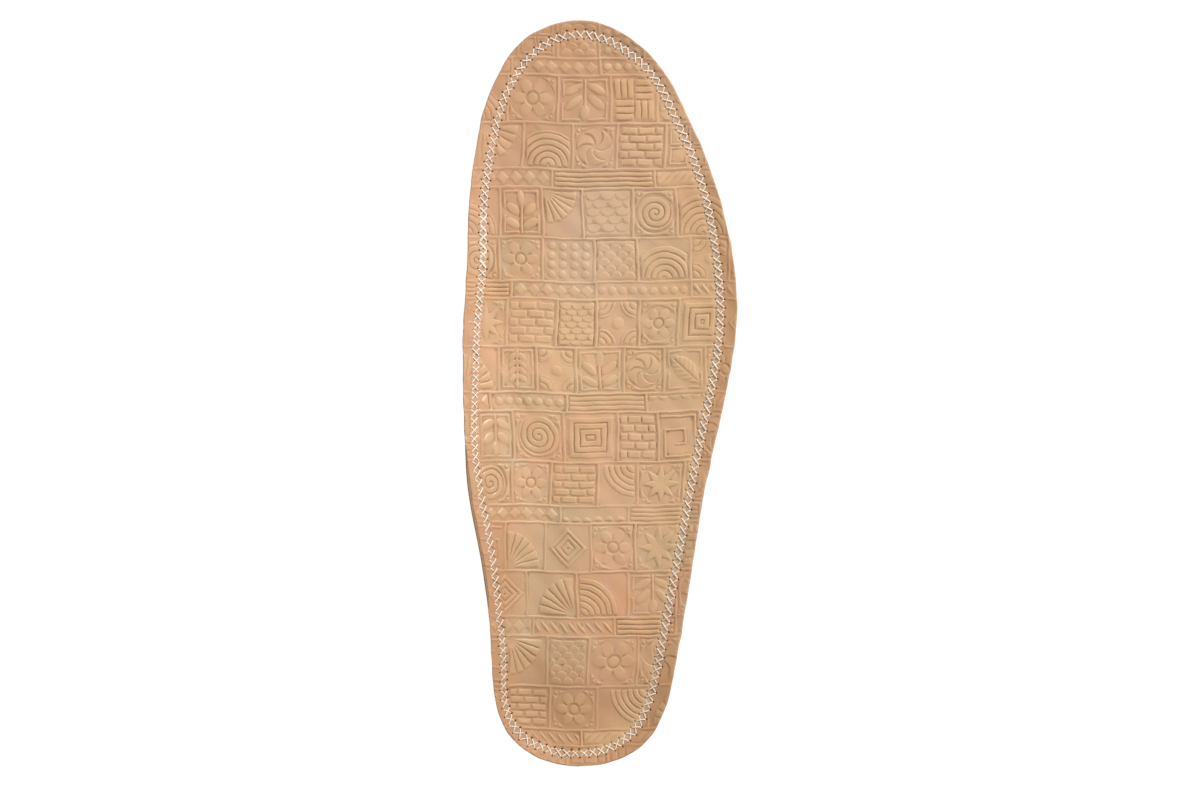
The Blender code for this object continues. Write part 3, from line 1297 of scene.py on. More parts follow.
@dataclass(frozen=True)
class ThreadFinish:
    """Off-white twisted thread, with painted shade on the inner ends of the stitches that lie below, and on
    the medial thread towards heel and toe.

    A ply's turn is so many mm long, as the stitches' lay is in mm, and its depth is in metres.
    """

    clouds: Mottle = Mottle(120.0, 1800.0, 0.5)
    worn_mix: Ramp = Ramp(0.45, 0.75, 0.0, 0.45)
    clean: Colour = (0.95, 0.878, 0.763)
    worn: Colour = (0.9, 0.805, 0.675)
    shaded: Colour = (0.2, 0.1, 0.045)
    roughness: float = 0.7
    sheen: float = 0.2
    ply_count: float = 3.0
    ply_length: float = 1.9
    ply_strength: float = 0.7
    ply_depth: float = 0.00007

    def make(self, effects: SharedEffects) -> bpy.types.Material:
        """Build the thread's material.

        Args:
            effects: Shared node groups.

        Returns:
            A material that reads each stitch's painted shade and lay.
        """
        material, graph, shader = blank_material("seam_thread")
        share = graph.ranged(effects.tone(graph, self.clouds), self.worn_mix)
        colour = graph.mix(share, self.clean, self.worn)
        graph.feed(shader.inputs["Base Color"], graph.mix(graph.attribute("thread_shade"), colour, self.shaded))
        bump = graph.add("Bump", Height=self.plies(graph), Strength=self.ply_strength,
                         Distance=self.ply_depth)
        graph.feed(shader.inputs["Normal"], bump.outputs["Normal"])
        shader.inputs["Roughness"].default_value = self.roughness
        shader.inputs["Sheen Weight"].default_value = self.sheen
        return material

    def plies(self, graph: Graph) -> bpy.types.NodeSocket:
        """Twisted plies: the sine of the ply count times the angle round the thread, turning along it.

        Args:
            graph: The material's graph.

        Returns:
            The height's output, from -1 to 1.
        """
        lay = graph.add("Attribute", {"attribute_name": "lay"}).outputs["Vector"]
        place = graph.add("SeparateXYZ", Vector=lay).outputs
        round_it = graph.math("ARCTAN2", place["Y"], place["X"])
        turn = graph.math("MULTIPLY", place["Z"], 2.0 * np.pi * self.ply_count / self.ply_length)
        return graph.math("SINE", graph.math("ADD", graph.math("MULTIPLY", round_it, self.ply_count), turn))


@dataclass(frozen=True)
class FoamFinish:
    """Brown closed-cell foam, matt, with fine cells."""

    clouds: Mottle = Mottle(30.0, 900.0, 0.55)
    cloud_mix: Ramp = Ramp(0.35, 0.65)
    dark: Colour = (0.27, 0.14, 0.06)
    light: Colour = (0.41, 0.23, 0.105)
    cells: Pores = Pores(900.0, 1600.0, 0.35, 0.6, 0.0002)
    roughness: float = 0.88
    specular: float = 0.08

    def make(self, effects: SharedEffects) -> bpy.types.Material:
        """Build the foam's material.

        Args:
            effects: Shared node groups.

        Returns:
            A cloudy material with fine cells.
        """
        material, graph, shader = blank_material("base_foam")
        share = graph.ranged(effects.tone(graph, self.clouds), self.cloud_mix)
        graph.feed(shader.inputs["Base Color"], graph.mix(share, self.dark, self.light))
        graph.feed(shader.inputs["Normal"], effects.grain(graph, self.cells))
        shader.inputs["Roughness"].default_value = self.roughness
        shader.inputs["Specular IOR Level"].default_value = self.specular
        return material


@dataclass(frozen=True)
class FloorFinish:
    """White floor of a light table: it glows evenly from below, so that hardly any shadow is left."""

    colour: Colour = (0.07, 0.07, 0.07)
    roughness: float = 0.9
    glow: float = 0.97

    def make(self) -> bpy.types.Material:
        """Build the floor's material.

        Returns:
            A material that glows.
        """
        material, _, shader = blank_material("pale_floor")
        shader.inputs["Base Color"].default_value = (*self.colour, 1.0)
        shader.inputs["Roughness"].default_value = self.roughness
        shader.inputs["Emission Color"].default_value = (1.0, 1.0, 1.0, 1.0)
        shader.inputs["Emission Strength"].default_value = self.glow
        return material


# Pieces


@dataclass(frozen=True)
class SeamLine:
    """The cross stitch's two rows of needle holes, set out at even steps along the seam.

    Two passes of zigzag make the crosses. The second pass lags a little, so holes of one row stand
    closer and wider apart in turn.
    """

    foot: FootShape
    pitch: float = 3.4
    pass_lag: float = 0.15
    wander: float = 0.11
    wander_across: float = 0.6
    samples: int = 5600
    half_breadth: float = 4.5
    levels: int = 37
    seed: int = 21

    @cached_property
    def rail(self) -> Rail:
        """Fine samples of the outline."""
        return self.foot.rail(self.samples)

    @cached_property
    def walked(self) -> Array:
        """Length of the seam walked.

        Returns:
            Lengths at each fine sample, and at the close.
        """
        line = self.foot.seat(self.rail, self.rail.seam[None])[0]
        steps = np.linalg.norm(np.roll(line, -1, axis=0) - line, axis=1)
        return np.concatenate([[0.0], np.cumsum(steps)])

    @cached_property
    def count(self) -> int:
        """Stitches round the seam: its length over the pitch, to the nearest even number."""
        return 2 * int(round(self.walked[-1] / self.pitch / 2.0))

    @cached_property
    def step(self) -> float:
        """Length of one stitch along the seam."""
        return float(self.walked[-1] / self.count)

    def sample_at(self, length: Array) -> Array:
        """Fine sample, with its fraction, at lengths walked along the seam."""
        return np.interp(np.mod(length, self.walked[-1]), self.walked, np.arange(self.samples + 1))

    @cached_property
    def stations(self) -> Array:
        """How far from the heel each stitch lies."""
        at = self.sample_at(np.arange(self.count) * self.step)
        return self.rail.edge[at.astype(int) % self.samples, 1]

    @cached_property
    def medial(self) -> Array:
        """Mask of the stitches on the medial side, which come first."""
        return np.arange(self.count) < self.count / 2

    def phase(self, samples: int) -> Array:
        """Stitch number, with its fraction, at each sample of another rail."""
        at = np.arange(samples) * self.samples / samples
        return np.interp(at, np.arange(self.samples + 1), self.walked) / self.step

    @cached_property
    def strays(self) -> Array:
        """How far each hole strays from its even place.

        Returns:
            Distances by row (outer, inner), stitch, and along or across the seam.
        """
        draw = np.random.default_rng(self.seed)
        strays = draw.normal(0.0, self.wander, (2, self.count, 2)) * (1.0, self.wander_across)
        second_pass = (np.arange(self.count) + np.arange(2)[:, None]) % 2
        strays[..., 0] += self.pass_lag * (second_pass - 0.5)
        return strays

    def holes(self) -> tuple[Array, Array]:
        """Needle holes on the leather's face, the two rows square to the seam.

        A step along a slanting spoke also goes on along the seam, so each hole's spoke starts that much back.

        Returns:
            Points by row (outer, inner) and stitch, and upward normals there.
        """
        spread = np.linspace(-self.half_breadth, self.half_breadth, self.levels)
        grid = self.foot.seat(self.rail, self.rail.seam + spread[:, None])
        normal = surface_normals(grid)
        lift = self.foot.face_lift - self.foot.trough(self.rail, spread[:, None])
        grid = grid + normal * lift[..., None]
        even = np.arange(self.count) * self.step
        near = self.sample_at(even).astype(int) % self.samples
        gauge, square, skew = (part[near] for part in (self.rail.gauge, self.rail.square, self.rail.skew))
        points, normals = [], []
        for row, side in enumerate((-1.0, 1.0)):
            across = side * gauge / 2.0 + self.strays[row, :, 1]
            at = self.sample_at(even + self.strays[row, :, 0] - across * skew / square)
            level = (across / square + self.half_breadth) / (spread[1] - spread[0])
            points.append(grid_read(grid, level, at))
            normals.append(grid_read(normal, level, at))
        return np.array(points), np.array(normals)


def grid_read(grid: Array, level: Array, at: Array) -> Array:
    """Values between the nodes of a grid that closes on itself, mixed from the four nearest.

    Args:
        grid: Values by ring and sample.
        level: Ring numbers with fractions.
        at: Sample numbers with fractions.

    Returns:
        One value for each pair of numbers.
    """
    samples = grid.shape[1]
    low = np.clip(np.floor(level).astype(int), 0, grid.shape[0] - 2)
    up = (level - low)[:, None]
    left = np.floor(at).astype(int)
    on = (at - left)[:, None]
    left, right = left % samples, (left + 1) % samples
    below = grid[low, left] * (1.0 - on) + grid[low, right] * on
    above = grid[low + 1, left] * (1.0 - on) + grid[low + 1, right] * on
    return below * (1.0 - up) + above * up


class Wave(NamedTuple):
    """One sine of the cut edge's waver: waves round the outline, share, and start in radians."""

    count: float
    share: float
    start: float


@dataclass
class EmbossedCover:
    """The leather sheet: a fine closed mesh with the pressed pattern, needle holes and a cut edge."""

    foot: FootShape
    seam: SeamLine
    panels: EmbossedPanels = field(default_factory=EmbossedPanels)
    under_lift: float = 0.06
    relief_depth: float = 0.375
    swell: float = 0.14
    margin_share: float = 0.8
    seam_share: float = 0.3
    edge_round: float = 0.16
    edge_fade: float = 0.9
    edge_waver: float = 0.05
    edge_least: float = 0.3
    waver_waves: tuple[Wave, ...] = (Wave(31.0, 1.0, 0.0), Wave(52.0, 0.8, 2.0), Wave(83.0, 0.7, 4.0))
    field_pressed: Step = Step(1.4, 2.0)
    margin_pressed: Step = Step(-1.6, -1.4)
    flange_shade_slope: Step = Step(0.2, 0.5)
    # The slope and the medial side set the flange's painted shade.
    medial_flange: Step = Step(8.0, -30.0)
    lateral_side: Step = Step(-4.0, 24.0)
    # These two set the painted light on the lateral slopes.
    lateral_light_slope: float = 0.45
    lateral_light_inwards: Step = Step(-1.6, 2.4)
    brown_outwards: Step = Step(0.4, -2.4)
    brown_margin: Stretch = Stretch(145.0, 185.0, 55.0)
    glossy: Stretch = Stretch(108.0, 172.0, 24.0)
    undercut: float = 0.14
    raw_edge_shows: float = 0.85
    raw_edge_least: float = 0.15
    # The hole shares set both the pits' depth and the painted shade in the holes.
    hole_radius: float = 0.36
    hole_depth: float = 0.55
    hole_shares: tuple[float, float] = (1.0, 0.85)
    lateral_holes: tuple[float, float] = (0.87, 0.68)
    heel_holes: tuple[float, float] = (1.0, 1.7)
    heel_end: float = 40.0
    faint_holes: Stretch = Stretch(62.0, 172.0, 16.0)
    faint_share: float = 0.4
    samples: int = 3200
    edge_steps: tuple[float, ...] = (0.0, 0.08, 0.18, 0.32, 0.52)
    margin_rings: int = 16
    seam_rings: int = 24
    field_rings: int = 170
    under_rings: tuple[float, ...] = (0.0, 0.2, 0.6, 1.0)
    wall_rings: tuple[float, ...] = (0.35, 0.7)
    soften: int = 1
    crisp: float = 0.4
    crisp_soften: int = 3
    crease_shade_soften: int = 6
    most_faces: int = 190000

    def cut_line(self, rail: Rail) -> Array:
        """Inset of the face's cut edge, seen from above: a slow waver of sines, and more at the raw edge.

        Args:
            rail: The outline's samples.

        Returns:
            One inset for each sample.
        """
        turn = 2.0 * np.pi * np.arange(self.samples) / self.samples
        waver = sum(wave.share * np.sin(wave.count * turn + wave.start) for wave in self.waver_waves)
        return self.edge_waver * (1.0 + waver) + self.raw_edge_shows * self.foot.open_edge(rail)

    def insets(self, rail: Rail) -> Array:
        """Insets of the face's rings: close at the rounded edge and across the seam, then even to the spine.

        Args:
            rail: The outline's samples.

        Returns:
            Insets of the seat along the spokes, by ring and sample.
        """
        start = self.foot.under_face(rail, self.cut_line(rail))
        before = rail.seam - self.foot.trough_half_width / rail.square
        after = rail.seam + self.foot.trough_half_width / rail.square
        rings = [start + step for step in self.edge_steps]
        stretches = ((rings[-1], before, self.margin_rings), (before, after, self.seam_rings),
                     (after, rail.span, self.field_rings))
        for near, far, count in stretches:
            rings += [near + (far - near) * share for share in np.linspace(0.0, 1.0, count + 1)[1:]]
        return np.array(rings)

    def flat_places(self, rail: Rail, seat: Array) -> tuple[Array, Array]:
        """Where each point lay on the flat leather, and its distance in from the seam along the surface.

        Lengths are walked up the curved seat from the spine and laid out straight along the spoke.

        Args:
            rail: The outline's samples.
            seat: Points of the seat by ring and sample.

        Returns:
            Places across and along, and distances, by ring and sample.
        """
        steps = np.linalg.norm(np.diff(seat, axis=0), axis=-1)
        outwards = np.concatenate([np.cumsum(steps[::-1], axis=0)[::-1], np.zeros((1, steps.shape[1]))])
        spine = rail.edge + rail.inward * rail.span[:, None]
        flat = spine - rail.inward * outwards[..., None]
        seam_ring = len(self.edge_steps) + self.margin_rings + self.seam_rings // 2 - 1
        return flat, outwards[seam_ring] - outwards

    def build(self) -> bpy.types.Object:
        """Make the cover's mesh and thin it below its limit of faces.

        Returns:
            The cover, with the attributes that its leather reads.
        """
        rail = self.foot.rail(self.samples)
        inset = self.insets(rail)
        seat = self.foot.seat(rail, inset)
        flat, past_seam = self.flat_places(rail, seat)
        relief, tone = self.pressed(inset, flat, past_seam)
        pierced = self.pierced(rail, inset - rail.seam)
        height = self.face_height(rail, inset, flat, relief, pierced)
        top = seat + surface_normals(seat) * height[..., None]
        lower = self.lower_rings(rail, top[0])
        grid = np.concatenate([lower, top])
        points, faces, kept = closed_on_spines(grid, ring_faces(len(grid), self.samples), (0, len(grid) - 1))
        made = new_object("embossed_cover", points, faces, self.foot.middle())
        # The blurred relief less the relief marks the creases, which the leather darkens as painted shade.
        numbers = {"relief": relief, "crease_shade": ring_soften(relief, self.crease_shade_soften) - relief,
                   "panel_tone": tone, "pierced": pierced, **self.tints(rail, inset, flat, past_seam)}
        for name, values in numbers.items():
            set_attribute(made, name, np.concatenate([np.zeros(lower.shape[:2]), values]).reshape(-1)[kept])
        raw = self.raw_edge_least + (1.0 - self.raw_edge_least) * self.foot.open_edge(rail)
        cut_edge = np.concatenate([np.tile(raw, (len(lower), 1)), np.zeros(relief.shape)])
        set_attribute(made, "cut_edge", cut_edge.reshape(-1)[kept])
        return self.thinned(made)

    def pressed(self, inset: Array, flat: Array, past_seam: Array) -> tuple[Array, Array]:
        """The panels' relief as the leather keeps it: crisp, weak under the stitches, fading at the edge.

        Args:
            inset: Ring insets.
            flat: Places on the flat leather.
            past_seam: Distance in from the seam along the surface.

        Returns:
            Relief and the panels' tone, by ring and sample.
        """
        relief, tone = self.panels.relief(flat[..., 0], flat[..., 1])
        relief = ring_soften(relief, self.soften)
        relief = relief + self.crisp * (relief - ring_soften(relief, self.crisp_soften))
        from_edge = eased(self.edge_least + (inset - inset[0]) / self.edge_fade)
        return relief * self.pressure(past_seam) * from_edge, tone

    def pressure(self, past_seam: Array) -> Array:
        """Share of the relief kept: full in the field, least under the stitches, less in the margin.

        Args:
            past_seam: Distance in from the seam along the surface.

        Returns:
            Shares by ring and sample.
        """
        in_field = (1.0 - self.seam_share) * self.field_pressed.share(past_seam)
        in_margin = (self.margin_share - self.seam_share) * self.margin_pressed.share(past_seam)
        return self.seam_share + in_field + in_margin

    def face_height(self, rail: Rail, inset: Array, flat: Array, relief: Array, pierced: Array) -> Array:
        """Height of the face above the seat: lift, relief and swell, less holes, rounded edge and trough.

        Args:
            rail: The outline's samples.
            inset: Ring insets.
            flat: Places on the flat leather.
            relief: The pressed pattern.
            pierced: Nearness to the needle holes.

        Returns:
            Heights along the normal by ring and sample, the same from both sides of the spine.
        """
        from_edge = (inset - inset[0]) / self.edge_steps[-1]
        rounding = self.edge_round * np.clip(1.0 - from_edge, 0.0, 1.0) ** 2
        height = self.foot.face_lift + self.relief_depth * relief + self.swell / 2.0 * self.swelling(flat)
        height = height - self.hole_depth * pierced - rounding - self.foot.trough(rail, inset - rail.seam)
        facing = -np.arange(self.samples) % self.samples
        height[-1] = (height[-1] + height[-1, facing]) / 2.0
        return height

    def swelling(self, flat: Array) -> Array:
        """Slow unevenness of the hide: sines across, along and aslant, the first two bent by slower ones.

        Args:
            flat: Places on the flat leather.

        Returns:
            Numbers from -3 to 3, by ring and sample.
        """
        x, y = flat[..., 0], flat[..., 1]
        across = np.sin(x / 2.9 + 1.7 * np.sin(y / 6.1))
        along = np.sin(y / 2.3 + 1.3 * np.sin(x / 5.2))
        return across + along + np.sin((x + y) / 1.9 + 0.6)

    def lower_rings(self, rail: Rail, cut: Array) -> Array:
        """Underside from the spine outwards, and the cut wall up to the face.

        Args:
            rail: The outline's samples.
            cut: Points of the face's cut edge.

        Returns:
            Points by ring and sample.
        """
        edge = (self.cut_line(rail) + self.undercut) * (1.0 - self.foot.open_edge(rail))
        insets = np.array([edge + (rail.span - edge) * share for share in self.under_rings])
        under = self.foot.seat(rail, insets)
        under = under + surface_normals(under) * self.under_lift
        wall = under[0] + (cut - under[0]) * np.array(self.wall_rings)[:, None, None]
        return np.concatenate([under[::-1], wall])

    def tints(self, rail: Rail, inset: Array, flat: Array, past_seam: Array) -> dict[str, Array]:
        """Where the leather's colour turns: painted shade up the medial flange, painted light on the lateral
        slopes, browner in the lateral margin.

        Args:
            rail: The outline's samples.
            inset: Ring insets.
            flat: Places on the flat leather.
            past_seam: Distance in from the seam along the surface.

        Returns:
            Shares from 0 to 1 by ring and sample, under the names that the leather reads.
        """
        x, y = flat[..., 0], flat[..., 1]
        slope = 2.0 * rail.rim / rail.reach * np.maximum(1.0 - inset / rail.reach, 0.0)
        flange_shade = self.flange_shade_slope.share(slope) * self.medial_flange.share(x)
        lateral = self.lateral_side.share(x)
        painted_lateral_light = np.clip(slope / self.lateral_light_slope, 0.0, 1.0) * lateral * self.lateral_light_inwards.share(past_seam)
        margin = lateral * self.brown_outwards.share(past_seam) * self.brown_margin.share(y)
        return {"flange_shade": flange_shade, "gloss": flange_shade * self.glossy.share(y), "painted_lateral_light": painted_lateral_light, "margin": margin}

    def pierced(self, rail: Rail, past_seam: Array) -> Array:
        """Nearness to the needle holes: a share times exp(-(distance / radius) to the fourth).

        Args:
            rail: The outline's samples.
            past_seam: Distance in from the seam along the spokes.

        Returns:
            Numbers from 0 to 1, by ring and sample.
        """
        seam = self.seam
        phase = seam.phase(self.samples) + past_seam * rail.skew / seam.step
        number = np.arange(seam.count)
        faint = self.faint_holes.share(seam.stations) * seam.medial
        nearness = np.zeros(past_seam.shape)
        heel = seam.medial & (seam.stations < self.heel_end)
        for row, (strays, side) in enumerate(zip(seam.strays, (-1.0, 1.0))):
            shares = np.where(seam.medial, self.hole_shares[row], self.lateral_holes[row])
            shares = np.where(heel, self.heel_holes[row], shares) * (1.0 - (1.0 - self.faint_share) * faint)
            shift = strays[:, 0] / seam.step
            drift = np.interp(np.mod(phase, seam.count), number, shift)
            nearest = np.round(phase - drift).astype(int) % seam.count
            along = phase - nearest - shift[nearest]
            along = (along - seam.count * np.round(along / seam.count)) * seam.step
            across = past_seam * rail.square - side * rail.gauge / 2.0 - strays[nearest, 1]
            away = np.hypot(along, across) / self.hole_radius
            nearness = np.maximum(nearness, shares[nearest] * np.exp(-(away**4)))
        return np.minimum(nearness, 1.0)

    def thinned(self, made: bpy.types.Object) -> bpy.types.Object:
        """Collapse edges where the surface is flat until the mesh is below its limit, and shade by area.

        Args:
            made: The full cover.

        Returns:
            The same object with the thinned mesh.
        """
        decimate = made.modifiers.new("thinned", "DECIMATE")
        decimate.ratio = min(1.0, self.most_faces / (2 * len(made.data.polygons)))
        made.modifiers.new("even_shading", "WEIGHTED_NORMAL").keep_sharp = True
        graph = bpy.context.evaluated_depsgraph_get()
        mesh = bpy.data.meshes.new_from_object(made.evaluated_get(graph))
        made.modifiers.clear()
        made.data = mesh
        mesh.name = made.name
        return made

    def dress(self, made: bpy.types.Object, finish: bpy.types.Material) -> None:
        """Give the cover its leather, attach it to the root body, and hide the CAD cover.

        Args:
            made: The cover.
            finish: Its leather.
        """
        made.data.materials.clear()
        made.data.materials.append(finish)
        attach(made, ROOT_BODY)
        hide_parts("leather_cover")


class StitchRuns(NamedTuple):
    """Every stitch: its ends, the normal there, how high it lies, and the painted shade at its two ends.

    Upper is 0 for a stitch that lies below, 1 for one on top, and more for one laid over both.
    """

    start: Array
    end: Array
    normal: Array
    upper: Array
    thread_shade: Array


@dataclass
class CrossStitches:
    """The seam's thread: two slanting stitches at each step, one lying over the other."""

    seam: SeamLine
    radius: float = 0.262
    flatness: float = 0.55
    lower_share: float = 0.92
    lower_sunk: float = 0.03
    level_share: float = 0.3
    sides: int = 6
    sections: int = 9
    hole_clear: float = 0.38
    waist_clear: float = 0.22
    end_depth: float = 0.4
    end_share: float = 0.06
    doubled: tuple[float, float] = (190.0, 210.0)
    doubled_shift: float = 0.5
    doubled_level: float = 1.2
    medial_turned: tuple[float, float] = (135.0, 262.0)
    lateral_turned: tuple[float, float] = (40.0, 272.0)
    waist: tuple[float, float] = (50.0, 115.0)
    # Painted shade on the inner half of each lower stitch, strongest at the waist; the thread is thinner
    # where it is painted.
    waist_shade: float = 0.9
    lateral_shade: float = 0.06
    other_shade: float = 0.1
    shade_thins: float = 0.4
    start_shaded: Step = Step(0.8, -0.5)
    end_shaded: Step = Step(0.2, 0.5)
    # Outside the bright stretch, the medial thread gets painted shade towards heel and toe.
    bright: Stretch = Stretch(60.0, 215.0, 20.0)
    dim: float = 0.07
    thicker: Stretch = Stretch(128.0, 208.0, 20.0)
    thicker_share: float = 0.05
    hump: float = 0.9
    hump_half_width: float = 0.2

    def runs(self) -> StitchRuns:
        """Set out every stitch from hole to hole.

        The stitch towards the inner row lies on top, except along the two turned stretches. Where the
        seam's end overlaps its start, one more zigzag lies beside the rest.

        Returns:
            All stitches: those towards the inner row, those towards the outer row, and the zigzag.
        """
        points, normals = self.seam.holes()
        outer, inner = points
        outer_next, inner_next = np.roll(points, -1, axis=1)
        normal = normals.mean(axis=0)
        station = self.seam.stations
        medial = self.seam.medial
        turned = np.where(medial, between(station, self.medial_turned), between(station, self.lateral_turned))
        upper = np.where(turned, 0.0, 1.0)
        at_waist = medial & between(station, self.waist)
        twice = medial & between(station, self.doubled)
        # Painted shade for the lower stitches' inner ends.
        thread_shade = np.where(~medial & turned, self.lateral_shade, self.other_shade)
        thread_shade = np.where(at_waist, self.waist_shade, thread_shade)
        clear = np.where(at_waist, self.waist_clear, self.hole_clear)
        none = np.zeros(len(outer))
        shift = (outer_next - outer) * self.doubled_shift / self.seam.pitch
        inwards = (np.arange(len(outer)) % 2 == 0)[:, None]
        zigzag_start = np.where(inwards, outer, inner) + shift
        zigzag_end = np.where(inwards, inner_next, outer_next) + shift
        start = np.concatenate([outer, inner, zigzag_start[twice]])
        end = np.concatenate([inner_next, outer_next, zigzag_end[twice]])
        upward = np.concatenate([normal, normal, normal[twice]])
        level = np.concatenate([upper, 1.0 - upper, self.doubled_level + none[twice]])
        back = np.concatenate([clear, clear, clear[twice]])
        shade_ends = ([none, thread_shade * (1.0 - upper)], [thread_shade * upper, none], [none[twice], none[twice]])
        step = (end - start) / np.linalg.norm(end - start, axis=1, keepdims=True) * back[:, None]
        return StitchRuns(start + step, end - step, upward, level, np.concatenate(shade_ends, axis=1))

    def build(self) -> bpy.types.Object:
        """Make all stitches as one mesh of tubes with few faces.

        Returns:
            The thread, with painted shade on the lower stitches' inner ends and towards heel and toe, and the
            lay of its plies.
        """
        runs = self.runs()
        t = 0.5 - 0.5 * np.cos(np.pi * np.linspace(0.0, 1.0, self.sections))
        angle = 2.0 * np.pi * np.arange(self.sides) / self.sides
        medial = runs.start[:, 0] < 0.0
        station = runs.start[:, 1]
        thicker = 1.0 + self.thicker_share * medial * self.thicker.share(station)
        thick = self.radius * np.where(runs.upper > 0.5, 1.0, self.lower_share) * thicker
        at_start, at_end = runs.thread_shade[..., None]
        shaded = at_start * self.start_shaded.share(t) + at_end * self.end_shaded.share(t)
        middle = self.middles(runs, t, thick)
        radius = thick[:, None] * (1.0 - self.shade_thins * shaded)
        grid = middle[..., None, :] + self.rings(middle, runs.normal, angle) * radius[..., None, None]
        faces = self.tube_faces(len(grid))
        made = new_object("seam_thread", grid.reshape(-1, 3), faces, self.seam.foot.middle())
        # Painted shade on the medial thread towards heel and toe.
        dim = self.dim * medial * (1.0 - self.bright.share(station))
        set_attribute(made, "thread_shade", np.repeat((shaded + dim[:, None]).ravel(), self.sides))
        length = np.linalg.norm(runs.end - runs.start, axis=1)
        lay = np.empty(grid.shape)
        lay[..., 0] = np.cos(angle)
        lay[..., 1] = np.sin(angle)
        lay[..., 2] = (length[:, None] * t)[..., None]
        set_attribute(made, "lay", lay.reshape(-1, 3))
        return made

    def middles(self, runs: StitchRuns, t: Array, thick: Array) -> Array:
        """Middle lines of the tubes: straight between two holes, dipping into both, humped over a stitch.

        Args:
            runs: The stitches.
            t: Shares of a run, from 0 to 1, at a tube's sections.
            thick: Half-width of each thread.

        Returns:
            Points by stitch and section.
        """
        rise = eased(t / self.end_share) * eased((1.0 - t) / self.end_share)
        hump = np.exp(-(((t - 0.5) / self.hump_half_width) ** 2))
        level = self.level_share * thick - self.lower_sunk * (runs.upper < 0.5)
        lift = rise * (level + self.end_depth)[:, None] - self.end_depth
        lift = lift + runs.upper[:, None] * hump * self.hump * self.radius
        run = runs.end - runs.start
        return runs.start[:, None] + run[:, None] * t[:, None] + runs.normal[:, None] * lift[..., None]

    def rings(self, middle: Array, normal: Array, angle: Array) -> Array:
        """Flattened unit rings, square to the tubes' middle lines.

        Args:
            middle: Points by stitch and section.
            normal: Upward normal of each stitch.
            angle: Angles round a tube.

        Returns:
            Offsets from the middle by stitch, section and side.
        """
        along = np.gradient(middle, axis=1)
        along = along / np.linalg.norm(along, axis=-1, keepdims=True)
        aside = np.cross(normal[:, None], along)
        aside = aside / np.linalg.norm(aside, axis=-1, keepdims=True)
        upward = np.cross(along, aside)
        rounded = self.flatness * upward[..., None, :] * np.sin(angle)[:, None]
        return aside[..., None, :] * np.cos(angle)[:, None] + rounded

    def tube_faces(self, count: int) -> list[list[int]]:
        """Faces of many tubes: quads between sections and a flat cap at each end.

        Args:
            count: How many tubes.

        Returns:
            Point numbers of each face.
        """
        tube = ring_faces(self.sections, self.sides)[:, ::-1]
        size = self.sections * self.sides
        starts = size * np.arange(count)
        quads = (starts[:, None, None] + tube).reshape(-1, 4).tolist()
        first = np.arange(self.sides)
        last = size - self.sides + first[::-1]
        caps = (starts[:, None, None] + np.stack([first, last])).reshape(-1, self.sides).tolist()
        return quads + caps

    def dress(self, made: bpy.types.Object, finish: bpy.types.Material) -> None:
        """Give the thread its finish and attach it to the root body.

        Args:
            made: The thread.
            finish: Its material.
        """
        made.data.materials.append(finish)
        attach(made, ROOT_BODY)


@dataclass
class FoamBase:
    """The moulded base: its seat under the leather, a skived edge and a flat underside."""

    foot: FootShape
    under_reach: float = 0.8
    edge_thickness: float = 2.6
    skive_per_rise: float = 0.1
    edge_round: float = 0.25
    edge_back: float = 0.35
    round_segments: int = 2
    sharp_angle: float = 50.0
    samples: int = 600
    seat_rings: tuple[float, ...] = (0.0, 0.06, 0.15, 0.3, 0.5, 0.75, 1.0)
    under_rings: int = 14

    def build(self) -> bpy.types.Object:
        """Make the base's closed mesh.

        The underside's height is the edge's height times (1 - share of its reach) squared, then flat.

        Returns:
            The base, with a bevel on its edge.
        """
        rail = self.foot.rail(self.samples)
        open_edge = self.foot.open_edge(rail)
        back = self.edge_back * (1.0 - open_edge)
        insets = np.array([back + (rail.span - back) * share for share in self.seat_rings])
        seat = self.foot.seat(rail, insets)
        lean = self.foot.lean_per_rise * rail.rim * open_edge - back
        edge_height = seat[0, :, 2] - self.edge_thickness + self.skive_per_rise * rail.rim
        reach = self.under_reach * rail.reach
        rings = []
        for share in np.linspace(0.0, 1.0, self.under_rings):
            inset = reach * share - lean * (1.0 - share)
            plan = rail.edge + rail.inward * inset[:, None]
            rings.append(np.column_stack([plan, edge_height * (1.0 - share) ** 2]))
        spine = rail.edge + rail.inward * rail.span[:, None]
        rings.append(np.column_stack([spine, np.zeros(self.samples)]))
        grid = np.concatenate([np.array(rings)[::-1], seat])
        points, faces, _ = closed_on_spines(grid, ring_faces(len(grid), self.samples), (0, len(grid) - 1))
        made = new_object("moulded_base", points, faces, self.foot.middle())
        bevel = made.modifiers.new("rounded_edge", "BEVEL")
        bevel.width = self.edge_round * MM
        bevel.segments = self.round_segments
        bevel.limit_method = "ANGLE"
        bevel.angle_limit = np.radians(self.sharp_angle)
        return made

    def dress(self, made: bpy.types.Object, finish: bpy.types.Material) -> None:
        """Args:
            made: The base.
            finish: Its foam.
        """
        made.data.materials.append(finish)
        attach(made, ROOT_BODY)
        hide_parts("base_pad")


